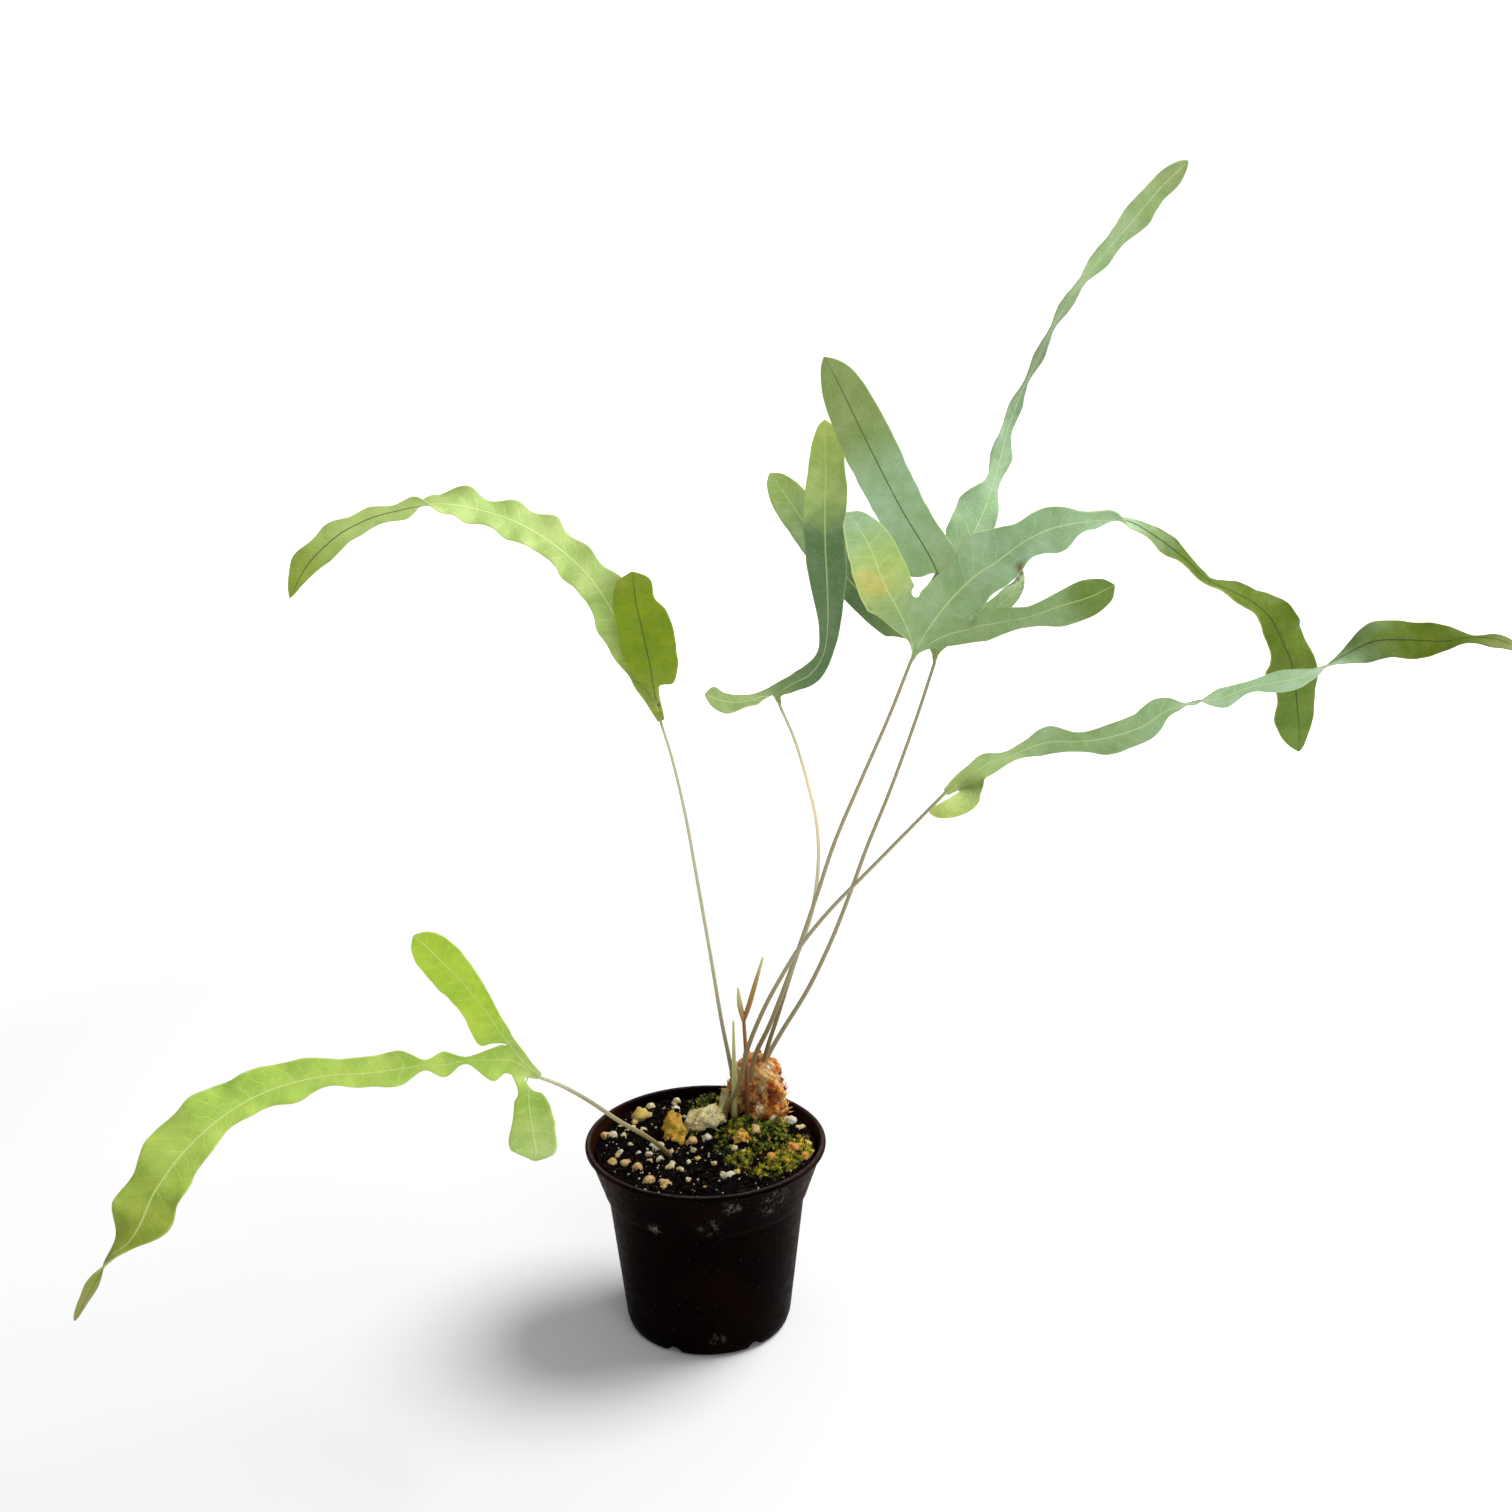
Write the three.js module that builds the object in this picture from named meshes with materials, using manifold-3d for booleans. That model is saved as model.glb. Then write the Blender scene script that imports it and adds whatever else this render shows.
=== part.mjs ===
// A potted blue star fern: a small round nursery pot filled with potting mix, creeping
// rhizomes on the surface and six long-stalked, waved fronds. Millimetres, +Z up.
// The origin is the centre of the pot's base, on the surface the pot stands on.
import * as THREE from "three";
import Module from "manifold-3d";

const wasm = await Module();
wasm.setup();

// Driving dimensions
const potHeight = 75;
const lipRadius = 45;
const lipDrop = 2.8;
const collarFoot = 57;
const collarFootRadius = 38.6;
const ledgeHeight = 55;
const bodyTopRadius = 37;
const bodyFootRadius = 31;
const wall = 1.3;
const floorTop = 3.2;
const groundLevel = 71.3;
const groundRadius = 41;
const bladeThickness = 0.7;
const clearance = 0.4;
const potSegments = 36;

// A repeatable stream of numbers from 0 to 1.
function numbersFrom(seed) {
  let state = seed;
  return () => {
    state = (state * 16807) % 2147483647;
    return state / 2147483647;
  };
}

// Solids

function solidFrom(points, triangles) {
  const mesh = new wasm.Mesh({
    numProp: 3,
    vertProperties: new Float32Array(points.flat()),
    triVerts: new Uint32Array(triangles.flat()),
  });
  const made = new wasm.Manifold(mesh);
  if (made.volume() > 0) return made;
  const turned = triangles.map(([a, b, c]) => [a, c, b]);
  return solidFrom(points, turned);
}

function solidOfGeometry(geometry) {
  const place = geometry.getAttribute("position");
  const seen = new Map();
  const points = [];
  const ids = [];
  for (let i = 0; i < place.count; i++) {
    const p = [place.getX(i), place.getY(i), place.getZ(i)];
    const key = p.map((v) => Math.round(v * 1000)).join(" ");
    if (!seen.has(key)) {
      seen.set(key, points.length);
      points.push(p);
    }
    ids.push(seen.get(key));
  }
  const order = geometry.index ? Array.from(geometry.index.array) : ids.map((_, i) => i);
  const triangles = [];
  for (let i = 0; i < order.length; i += 3) {
    const t = [ids[order[i]], ids[order[i + 1]], ids[order[i + 2]]];
    if (t[0] !== t[1] && t[1] !== t[2] && t[2] !== t[0]) triangles.push(t);
  }
  return solidFrom(points, triangles);
}

function lathed(profile, segments) {
  const outline = profile.map(([r, z]) => new THREE.Vector2(r, z));
  const geometry = new THREE.LatheGeometry(outline, segments);
  geometry.rotateX(Math.PI / 2);
  return solidOfGeometry(geometry);
}

// Paths

function between(rows, t) {
  const place = t * (rows.length - 1);
  const i = Math.min(Math.floor(place), rows.length - 2);
  const w = place - i;
  const b = rows[i];
  const c = rows[i + 1];
  const a = i > 0 ? rows[i - 1] : b.map((v, k) => 2 * v - c[k]);
  const d = i + 2 < rows.length ? rows[i + 2] : c.map((v, k) => 2 * v - b[k]);
  return b.map((v, k) => {
    const first = c[k] - a[k];
    const second = 2 * a[k] - 5 * v + 4 * c[k] - d[k];
    const third = 3 * v - a[k] - 3 * c[k] + d[k];
    return 0.5 * (2 * v + first * w + second * w * w + third * w * w * w);
  });
}

// count + 1 rows spaced evenly along a curve through the given rows, and its length.
function spaced(rows, count) {
  const fine = 400;
  const points = [];
  const run = [0];
  for (let i = 0; i <= fine; i++) {
    points.push(between(rows, i / fine));
    if (i > 0) {
      const [p, q] = [points[i - 1], points[i]];
      run.push(run[i - 1] + Math.hypot(q[0] - p[0], q[1] - p[1], q[2] - p[2]));
    }
  }
  const length = run[fine];
  const out = [];
  let j = 0;
  for (let i = 0; i <= count; i++) {
    const want = (length * i) / count;
    while (j < fine - 1 && run[j + 1] < want) j++;
    const w = Math.min(1, Math.max(0, (want - run[j]) / (run[j + 1] - run[j] || 1)));
    out.push(points[j].map((v, k) => v + (points[j + 1][k] - v) * w));
  }
  return { rows: out, length };
}

const vector = (p) => new THREE.Vector3(p[0], p[1], p[2]);
const smooth = (x) => {
  const w = Math.min(1, Math.max(0, x));
  return w * w * (3 - 2 * w);
};

// The way along, across and out of a blade at each row of its midrib. A turn of 0 faces
// the blade's upper side to the front and a little up.
const front = new THREE.Vector3(0, -0.95, 0.31).normalize();
function bladeFrames(rows) {
  return rows.map((row, i) => {
    const before = vector(rows[Math.max(0, i - 1)]);
    const after = vector(rows[Math.min(rows.length - 1, i + 1)]);
    const along = after.sub(before).normalize();
    const face = front.clone().addScaledVector(along, -front.dot(along)).normalize();
    const side = along.clone().cross(face);
    const turn = (row[5] * Math.PI) / 180;
    const across = side.clone().multiplyScalar(Math.cos(turn));
    across.addScaledVector(face, -Math.sin(turn));
    const out = face.clone().multiplyScalar(Math.cos(turn));
    out.addScaledVector(side, Math.sin(turn));
    return { along, across, out };
  });
}

// Leaf blades: a sheet of quads grown as strips, each lobe from an edge of its parent.

function waved(rows, length, steps, columns, wave) {
  const frames = bladeFrames(rows);
  return rows.map((row, i) => {
    const u = (length * i) / steps;
    const fade = Math.min(1, u / 18) * Math.min(1, (length - u) / 12);
    const line = [];
    for (let j = 0; j <= columns; j++) {
      const s = (2 * j) / columns - 1;
      const half = s < 0 ? row[3] : row[4];
      const phase = s < 0 ? wave.left : wave.right;
      const k = 2 * Math.PI * (u / wave.length + phase);
      const reach = s * half * (1 + wave.cut * Math.sin(k + 0.6) * fade);
      const size = Math.min(1.2, Math.max(0.3, half / 8));
      const lift = wave.lift * Math.sin(k) * Math.abs(s) ** 1.6 * fade * size;
      const cup = 0.06 * half * s * s;
      const p = vector(row).addScaledVector(frames[i].across, reach);
      line.push(p.addScaledVector(frames[i].out, lift + cup));
    }
    return line;
  });
}

function newSheet() {
  return { points: [], quads: [], soft: new Set() };
}

function addStrip(sheet, lines) {
  const ids = lines.map((line) => line.map((p) => sheet.points.push(p) - 1));
  addQuads(sheet, ids);
  return ids;
}

function addQuads(sheet, ids) {
  for (let i = 0; i + 1 < ids.length; i++)
    for (let j = 0; j + 1 < ids[i].length; j++)
      sheet.quads.push([ids[i][j], ids[i][j + 1], ids[i + 1][j + 1], ids[i + 1][j]]);
}

function addLobe(sheet, parent, lobe) {
  const last = parent[0].length - 1;
  const stations = parent.slice(lobe.from, lobe.to + 1);
  const edge = stations.map((line) => (lobe.side === "left" ? line[0] : line[last]));
  if (lobe.side === "right") edge.reverse();
  const root = edge.map((id) => sheet.points[id]);
  const middle = new THREE.Vector3();
  root.forEach((p) => middle.addScaledVector(p, 1 / root.length));
  const span = root[0].distanceTo(root[root.length - 1]) / 2;
  const next = lobe.midrib[0];
  const start = [middle.x, middle.y, middle.z];
  start.push(Math.min(span, next[3] * 1.3), Math.min(span, next[4] * 1.3), next[5]);
  const { rows, length } = spaced([start, ...lobe.midrib], lobe.steps);
  const lines = waved(rows, length, lobe.steps, root.length - 1, lobe.wave);
  const heading = vector(rows[1]).sub(vector(rows[0])).normalize();
  const reach = Math.max(0.25, 12 / length);
  const ids = lines.map((line, i) => {
    if (i === 0) return edge;
    const t = i / lobe.steps;
    const k = smooth(t / reach);
    return line.map((p, j) => {
      const grown = root[j].clone().addScaledVector(heading, t * length * 0.8);
      return sheet.points.push(grown.lerp(p, k)) - 1;
    });
  });
  addQuads(sheet, ids);
  ids.slice(0, 4).forEach((line) => line.forEach((id) => sheet.soft.add(id)));
  stations.forEach((line) => {
    const inner = lobe.side === "left" ? line[1] : line[last - 1];
    sheet.soft.add(inner);
  });
  return ids;
}

// Evens out the sheet where a lobe leaves its parent.
function relax(sheet, rounds) {
  const near = new Map([...sheet.soft].map((id) => [id, new Set()]));
  for (const quad of sheet.quads)
    quad.forEach((id, k) => {
      if (!near.has(id)) return;
      near.get(id).add(quad[(k + 1) % 4]);
      near.get(id).add(quad[(k + 3) % 4]);
    });
  for (let round = 0; round < rounds; round++) {
    const moved = new Map();
    near.forEach((others, id) => {
      const mean = new THREE.Vector3();
      others.forEach((other) => mean.addScaledVector(sheet.points[other], 1 / others.size));
      moved.set(id, sheet.points[id].clone().lerp(mean, 0.5));
    });
    moved.forEach((p, id) => {
      sheet.points[id] = p;
    });
  }
}

// A sheet given thickness: both faces are split alike, and the rim is closed.
function thickened(sheet, thickness) {
  const normals = sheet.points.map(() => new THREE.Vector3());
  for (const quad of sheet.quads) {
    const [a, b, c, d] = quad.map((id) => sheet.points[id]);
    const normal = c.clone().sub(a).cross(d.clone().sub(b));
    quad.forEach((id) => normals[id].add(normal));
  }
  const half = thickness / 2;
  const place = (sign) =>
    sheet.points.map((p, i) => {
      const n = normals[i].clone().normalize();
      return p.clone().addScaledVector(n, sign * half).toArray();
    });
  const count = sheet.points.length;
  const triangles = [];
  const rim = new Map();
  for (const [a, b, c, d] of sheet.quads) {
    triangles.push([a, b, c], [a, c, d]);
    triangles.push([a + count, c + count, b + count], [a + count, d + count, c + count]);
    for (const [p, q] of [[a, b], [b, c], [c, d], [d, a]]) {
      if (rim.has(q + " " + p)) rim.delete(q + " " + p);
      else rim.set(p + " " + q, [p, q]);
    }
  }
  rim.forEach(([p, q]) => {
    triangles.push([p, p + count, q], [q, p + count, q + count]);
  });
  return solidFrom([...place(1), ...place(-1)], triangles);
}

// Rows x, y, z, radius of a stem through the given points, through the given radii.
function stemRows(points, radii, steps) {
  const rows = points.map((p, i) => {
    const t = (i / (points.length - 1)) * (radii.length - 1);
    const k = Math.min(radii.length - 2, Math.floor(t));
    return [p[0], p[1], p[2], radii[k] + (radii[k + 1] - radii[k]) * (t - k)];
  });
  return spaced(rows, steps).rows;
}

// A closed tube along rows of x, y, z, radius. swell gives the radius at each row and angle.
function tube(path, sides, swell) {
  const out = [];
  const last = path.length - 1;
  let across = new THREE.Vector3(1, 0, 0);
  path.forEach((row, i) => {
    const before = vector(path[Math.max(0, i - 1)]);
    const after = vector(path[Math.min(last, i + 1)]);
    const along = after.sub(before).normalize();
    across = across.addScaledVector(along, -across.dot(along)).normalize().clone();
    const side = along.clone().cross(across);
    for (let j = 0; j < sides; j++) {
      const a = (2 * Math.PI * j) / sides;
      const r = swell(row[3], a, i);
      const p = vector(row).addScaledVector(across, Math.cos(a) * r);
      out.push(p.addScaledVector(side, Math.sin(a) * r).toArray());
    }
  });
  const foot = out.push(path[0].slice(0, 3)) - 1;
  const head = out.push(path[last].slice(0, 3)) - 1;
  const triangles = [];
  for (let j = 0; j < sides; j++) {
    const next = (j + 1) % sides;
    for (let i = 0; i < last; i++) {
      const [a, b] = [i * sides + j, i * sides + next];
      const [c, d] = [b + sides, a + sides];
      triangles.push([a, b, c], [a, c, d]);
    }
    triangles.push([foot, next, j]);
    triangles.push([head, last * sides + j, last * sides + next]);
  }
  return solidFrom(out, triangles);
}

const stemSides = 6;
function stem(rows, extra = 0) {
  return tube(rows, stemSides, (radius) => radius + extra);
}

// Fronds. A midrib row is x, y, z, the half widths left and right of it, and the turn.

const fronds = {
  frond_left: {
    stalk: [
      [12.5, 30, 64],
      [12.5, 30, 75],
      [10, 27, 93],
      [7, 22, 113],
      [3.5, 14, 142],
      [-0.5, 4, 174],
      [-4.5, -6, 205],
      [-8.5, -13, 228],
      [-12, -18, 243],
    ],
    stalkRadii: [1.15, 0.95, 0.8, 0.7, 0.6],
    steps: 48,
    wave: { length: 13.5, left: 0.1, right: 0.45, lift: 1.6, cut: 0.07 },
    midrib: [
      [-12, -18, 244, 1.2, 1.2, 0],
      [-14.5, -19, 252, 3, 3, 0],
      [-18.5, -20, 263, 5, 5, 5],
      [-25, -22, 278.5, 7.5, 7, 10],
      [-31, -24, 291, 6, 8, 15],
      [-38.5, -25, 301, 7.2, 6.7, 20],
      [-48, -28, 310, 5.5, 8, 25],
      [-57.5, -30, 316.5, 7.4, 7, 28],
      [-67, -32, 320.5, 5.5, 5.5, 30],
      [-76.5, -35, 323.5, 7, 8.2, 40],
      [-85.5, -38, 324.5, 6.5, 6.5, 85],
      [-93.5, -40, 323.5, 3, 4.8, 125],
      [-102.5, -42, 321.5, 3.3, 3.8, 140],
      [-112.5, -44, 317, 4.5, 4.9, 145],
      [-121.5, -46, 309.5, 5, 4.6, 150],
      [-126, -47, 303.5, 4.1, 2.7, 145],
      [-129.5, -48, 297, 0.6, 0.6, 130],
    ],
    lobes: [
      {
        side: "right",
        from: 1,
        to: 5,
        steps: 15,
        wave: { length: 24, left: 0.5, right: 0.2, lift: 0.9, cut: 0.06 },
        midrib: [
          [-13, -25, 256.5, 6, 6, 140],
          [-15, -31, 268, 9.2, 8, 165],
          [-16.5, -33, 276.5, 11, 9, 172],
          [-18, -34, 284.5, 9, 8.5, 176],
          [-19, -35, 290, 6.2, 7.5, 180],
          [-19.5, -35, 296.5, 6, 6, 180],
          [-20, -35, 300.5, 2.5, 2.5, 180],
        ],
      },
    ],
  },
  frond_middle: {
    stalk: [
      [20, 27, 78],
      [22.5, 27, 90],
      [24.5, 25, 100],
      [28, 22, 113],
      [34.5, 16, 138],
      [40.5, 11, 159],
      [43, 7, 178.5],
      [42.5, 3, 197],
      [39, 0, 214.5],
      [34.5, -2, 231],
      [29.5, -3, 243.5],
    ],
    stalkRadii: [1.1, 0.95, 0.85, 0.75, 0.65],
    steps: 32,
    wave: { length: 30, left: 0, right: 0.35, lift: 0.6, cut: 0.02 },
    midrib: [
      [29.5, -3, 244.5, 1, 1, 0],
      [28.5, -4, 248.5, 2.5, 2.5, 20],
      [33.5, -5, 252.5, 3.5, 3.5, 30],
      [40, -5, 256, 4, 4, 25],
      [44.5, -5, 263, 2.4, 3.2, 10],
      [46, -5, 273.5, 3.2, 4.7, 0],
      [46, -3, 287, 6, 6.5, 0],
      [45.5, -2, 299, 7, 7, 0],
      [45.5, 0, 312.5, 7.5, 7.5, -5],
      [46, 3, 324, 6.3, 7, -8],
      [46, 5, 334, 4.6, 6.2, -8],
      [46, 6, 339.5, 2.8, 3.8, -8],
      [46, 6, 342.5, 1.2, 1.2, -8],
    ],
    lobes: [
      {
        side: "left",
        from: 1,
        to: 4,
        steps: 9,
        wave: { length: 20, left: 0, right: 0.35, lift: 0.5, cut: 0.03 },
        midrib: [
          [22, -12, 250, 3.2, 2.3, 35],
          [15.5, -20, 250.5, 2.7, 4.1, 45],
          [9.5, -27, 253, 5.1, 4.6, 40],
          [5.5, -30, 255.5, 3.7, 4.1, 35],
          [3, -31, 257, 1.2, 1.2, 35],
        ],
      },
    ],
  },
  frond_front: {
    stalk: [
      [15.5, 23, 78],
      [17.5, 23, 88],
      [20, 22, 99],
      [25, 18, 112],
      [31, 11, 132],
      [36.5, 2, 153],
      [42, -7, 175],
      [47.5, -18, 198.5],
      [55.5, -30, 224.5],
      [64, -40, 250],
      [70.5, -47, 271],
    ],
    stalkRadii: [1.2, 1.05, 0.9, 0.8, 0.7],
    steps: 54,
    wave: { length: 18, left: 0, right: 0.35, lift: 1.4, cut: 0.05 },
    midrib: [
      [71, -47, 271.5, 1.2, 1.2, 0],
      [73, -48, 277, 4, 4, 0],
      [77.5, -49, 285, 9, 9, 0],
      [83.5, -51, 293.5, 8, 10.5, -3],
      [90, -54, 301, 8.5, 10.5, -5],
      [97, -58, 307, 11, 10, -5],
      [105, -60, 313.5, 6.1, 6.1, -8],
      [113.5, -60, 317.5, 7.4, 7.9, 5],
      [123, -58, 319, 4.3, 5.2, 40],
      [132, -55, 319, 6, 6, 80],
      [141, -51, 316.5, 2.5, 2.5, 130],
      [151, -46, 310, 3.4, 4.7, 150],
      [161, -41, 302, 2.5, 3.7, 148],
      [169.5, -37, 294, 2.5, 3.4, 125],
      [179, -33, 289, 3, 5.4, 140],
      [186.5, -30, 284.5, 4, 5.5, 150],
      [193, -29, 279, 4.5, 9.5, 158],
      [198, -27, 270.5, 6.5, 9.5, 165],
      [203, -25, 260, 9, 9, 170],
      [205, -25, 248.5, 7.1, 7.8, 170],
      [206.5, -25, 238, 7.8, 4.4, 170],
      [207, -25, 230, 1.2, 1.2, 170],
    ],
    lobes: [
      {
        side: "left",
        from: 1,
        to: 6,
        steps: 12,
        wave: { length: 40, left: 0, right: 0.35, lift: 0.6, cut: 0.02 },
        midrib: [
          [65, -53, 291.5, 8.5, 9, -10],
          [60, -57, 302, 8.8, 8.8, -10],
          [56.5, -61, 311.5, 7.8, 7.8, -10],
          [53, -65, 318.5, 6.3, 6.3, -5],
          [50, -67, 323, 4, 4, -5],
          [48, -68, 325.5, 1.2, 1.2, 0],
        ],
      },
      {
        side: "right",
        from: 1,
        to: 6,
        steps: 15,
        wave: { length: 40, left: 0, right: 0.35, lift: 0.5, cut: 0.02 },
        midrib: [
          [87, -58, 283.5, 5, 3.8, 20],
          [97.5, -63, 288.5, 6.3, 3, 25],
          [106.5, -66, 290.5, 2.9, 3.2, 20],
          [115.5, -68, 294, 4.2, 6.6, 10],
          [124, -69, 297, 5.8, 6.1, 0],
          [129.5, -69, 299.5, 3.9, 4.2, 0],
          [132.5, -69, 301, 1.5, 1.5, 0],
        ],
      },
    ],
  },
  frond_back: {
    stalk: [
      [21.5, 33, 72],
      [22.5, 33, 83],
      [24.5, 32, 92],
      [30.5, 29, 105],
      [40, 24, 124],
      [48.5, 19, 145.5],
      [55, 13, 166.5],
      [61, 7, 187.5],
      [68.5, 0, 211],
      [76.5, -6, 238],
      [82.5, -10, 260],
    ],
    stalkRadii: [1.2, 1.05, 0.9, 0.8, 0.7],
    steps: 48,
    wave: { length: 20, left: 0, right: 0.35, lift: 1.3, cut: 0.06 },
    midrib: [
      [82.5, -10, 260.5, 1.2, 1.2, 0],
      [83.5, -10, 268.5, 6, 6, 0],
      [86.5, -8, 278.5, 9, 9, 0],
      [90.5, -5, 289, 9, 9, 0],
      [95, 0, 299.5, 8, 8, 10],
      [100.5, 6, 309.5, 6, 5.5, 30],
      [104.5, 12, 318.5, 4.6, 4.6, 45],
      [108, 17, 328.5, 5.6, 5.6, 50],
      [111, 22, 337, 4.5, 4.5, 55],
      [115.5, 27, 346.5, 4.3, 4.3, 68],
      [121, 31, 356.5, 4.2, 4.2, 70],
      [126.5, 35, 366.5, 4.2, 4.2, 70],
      [132, 38, 375.5, 4.4, 4.4, 70],
      [139, 41, 384.5, 4.6, 4.6, 65],
      [147, 44, 393.5, 5, 5, 55],
      [153.5, 46, 400.5, 5.5, 5.5, 45],
      [160.5, 48, 408, 5.6, 5.6, 40],
      [166.5, 50, 414.5, 5.4, 5.4, 40],
      [172, 51, 419.5, 4, 4, 40],
      [176.5, 52, 423.5, 1, 1, 30],
    ],
    lobes: [
      {
        side: "left",
        from: 1,
        to: 5,
        steps: 17,
        wave: { length: 50, left: 0, right: 0.35, lift: 0.5, cut: 0.02 },
        midrib: [
          [69.5, 6, 271.5, 6, 8, -10],
          [59.5, 18, 278.5, 6, 8, -10],
          [50.5, 30, 287.5, 6.3, 8, -8],
          [42, 40, 297.5, 6.5, 7.5, -5],
          [35, 47, 307, 6.3, 7, 0],
          [31, 50, 313, 4.2, 4.2, 0],
          [28.5, 51, 316, 1.5, 1.5, 0],
        ],
      },
      {
        side: "left",
        from: 7,
        to: 11,
        steps: 18,
        wave: { length: 60, left: 0, right: 0.35, lift: 0.6, cut: 0.02 },
        midrib: [
          [83, -10, 293.5, 7, 7, 175],
          [74, -16, 308.5, 7.8, 8, 172],
          [65.5, -22, 324.5, 8.4, 8.4, 172],
          [58, -26, 339.5, 8.6, 8.7, 172],
          [51, -28, 354, 7.8, 7.4, 175],
          [47, -29, 362, 6, 5, 178],
          [43.5, -30, 368.5, 1.2, 1.2, 180],
        ],
      },
      {
        side: "left",
        from: 13,
        to: 16,
        steps: 6,
        wave: { length: 60, left: 0, right: 0.35, lift: 0.3, cut: 0.02 },
        midrib: [
          [95, 2, 305, 4.5, 4.5, 150],
          [90, -2, 311.5, 4.5, 4.5, 150],
          [88, -4, 316.5, 1.5, 1.5, 150],
        ],
      },
      {
        side: "right",
        from: 1,
        to: 4,
        steps: 12,
        wave: { length: 50, left: 0, right: 0.35, lift: 0.4, cut: 0.02 },
        midrib: [
          [94, -2, 269, 4, 4, 20],
          [103.5, 4, 274.5, 4, 4, 30],
          [110.5, 6, 280, 4, 4, 30],
          [112.5, 2, 287, 3.5, 3.5, 60],
          [109, -4, 291, 3, 3, 120],
        ],
      },
    ],
  },
  frond_right: {
    stalk: [
      [7.5, 20.5, 64],
      [8, 20, 77],
      [12.5, 16, 87],
      [16.5, 10, 106.5],
      [22, 2, 125],
      [28, -6, 141],
      [36, -15, 159],
      [46, -24, 176],
      [58, -33, 193],
      [70, -41, 209.5],
      [82.5, -48, 226],
    ],
    stalkRadii: [1.2, 1.05, 0.9, 0.75, 0.65],
    steps: 56,
    wave: { length: 20, left: 0, right: 0.35, lift: 1.2, cut: 0.05 },
    midrib: [
      [82.5, -48, 226, 1.2, 1.2, 0],
      [86.5, -49, 229.5, 2.5, 2.5, 10],
      [91.5, -50, 233.5, 3, 4, 50],
      [96.5, -51, 237.5, 4, 4, 95],
      [102.5, -52, 239.5, 3, 3, 80],
      [108.5, -53, 242.5, 3.2, 4.3, 40],
      [116, -54, 245, 5.6, 4.2, 25],
      [125, -56, 245.5, 3.3, 4, 20],
      [135, -58, 247.5, 4.3, 5.7, 20],
      [145, -60, 251.5, 5.4, 5.9, 20],
      [152.5, -62, 257.5, 6.5, 2.5, 40],
      [161, -63, 260, 5, 5, 90],
      [169.5, -64, 262, 5.5, 5.5, 60],
      [178, -65, 265.5, 2.8, 2.8, 40],
      [187.5, -66, 267.5, 4.4, 4.4, 45],
      [197.5, -67, 270, 5, 5, 60],
      [207.5, -68, 276, 4.5, 4.5, 120],
      [216, -70, 281, 7, 7.4, 145],
      [226.5, -73, 282, 6.5, 7.2, 155],
      [236, -77, 282.5, 4, 6.3, 145],
      [243, -81, 284.5, 3.5, 3.5, 115],
      [250.5, -85, 284.5, 3.5, 3.5, 130],
      [259, -89, 281, 0.8, 0.8, 140],
    ],
    lobes: [
      {
        side: "right",
        from: 1,
        to: 4,
        steps: 8,
        wave: { length: 20, left: 0, right: 0.35, lift: 0.5, cut: 0.03 },
        midrib: [
          [91, -56, 229.5, 4, 4, 20],
          [86.5, -62, 227, 4, 4, 30],
          [80.5, -64, 225.5, 3, 3, 20],
          [75.5, -62, 224, 1.2, 1.2, 0],
        ],
      },
    ],
  },
  frond_low: {
    stalk: [
      [-12, -6, 64],
      [-13.5, -9, 73],
      [-21, -22, 87.5],
      [-30.5, -34, 100.5],
      [-40, -44, 113.5],
      [-48.5, -52, 123.5],
      [-56.5, -58, 130.5],
    ],
    stalkRadii: [1.05, 0.95, 0.85, 0.7],
    steps: 46,
    wave: { length: 17, left: 0, right: 0.35, lift: 1.1, cut: 0.05 },
    midrib: [
      [-56, -58, 130.5, 1.2, 1.2, 0],
      [-60, -60, 134.5, 3, 3, 0],
      [-65.5, -63, 139.5, 5, 6, 0],
      [-71.5, -66, 141, 6.5, 4, 0],
      [-79.5, -69, 142.5, 1.2, 1.2, 0],
      [-86.5, -72, 142.5, 3.8, 4.8, 0],
      [-92.5, -75, 144, 1.8, 1.8, 0],
      [-100, -78, 144.5, 5.1, 6.1, 0],
      [-110.5, -82, 145, 4.8, 5.4, 5],
      [-121.5, -87, 147, 3.4, 5.7, 5],
      [-133.5, -92, 147, 6.2, 7.4, 5],
      [-145, -98, 145, 4.8, 8.5, 0],
      [-155.5, -105, 140.5, 4.9, 10.5, 0],
      [-165, -112, 133.5, 7.3, 11.2, 5],
      [-172.5, -120, 125, 8.9, 9.6, 8],
      [-176, -127, 118, 8.9, 9.7, 5],
      [-179.5, -131, 113, 3, 6.8, 30],
      [-185, -134, 109.5, 2, 2, 70],
      [-190.5, -137, 101.5, 3.6, 2.8, 115],
      [-196.5, -139, 91, 0.8, 0.8, 120],
    ],
    lobes: [
      {
        side: "right",
        from: 1,
        to: 4,
        steps: 16,
        wave: { length: 50, left: 0, right: 0.35, lift: 0.5, cut: 0.02 },
        midrib: [
          [-68, -66, 152, 8.5, 3, 0],
          [-73.5, -70, 163.5, 7.1, 4.3, 0],
          [-79.5, -74, 174.5, 7.4, 5.9, 0],
          [-85, -77, 182.5, 6.7, 7, 0],
          [-89, -79, 188.5, 5.5, 5.8, 0],
          [-92.5, -80, 192.5, 2, 2, 0],
        ],
      },
      {
        side: "left",
        from: 1,
        to: 3,
        steps: 12,
        wave: { length: 50, left: 0, right: 0.35, lift: 0.5, cut: 0.02 },
        midrib: [
          [-60.5, -66, 129, 4.9, 4.2, 0],
          [-58.5, -74, 124.5, 7.4, 6.2, 0],
          [-57, -82, 120.5, 7.8, 8.5, 0],
          [-56, -87, 117.5, 6.8, 7.4, 0],
          [-56.5, -89, 115, 3, 3, 0],
        ],
      },
    ],
  },
};

// The stalk runs on along the underside of the blade as its main rib.
function stalkPath(frond) {
  const rib = frond.midrib.slice(1, 4).map((row) => row.slice(0, 3));
  return [...frond.stalk, ...rib];
}

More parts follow.
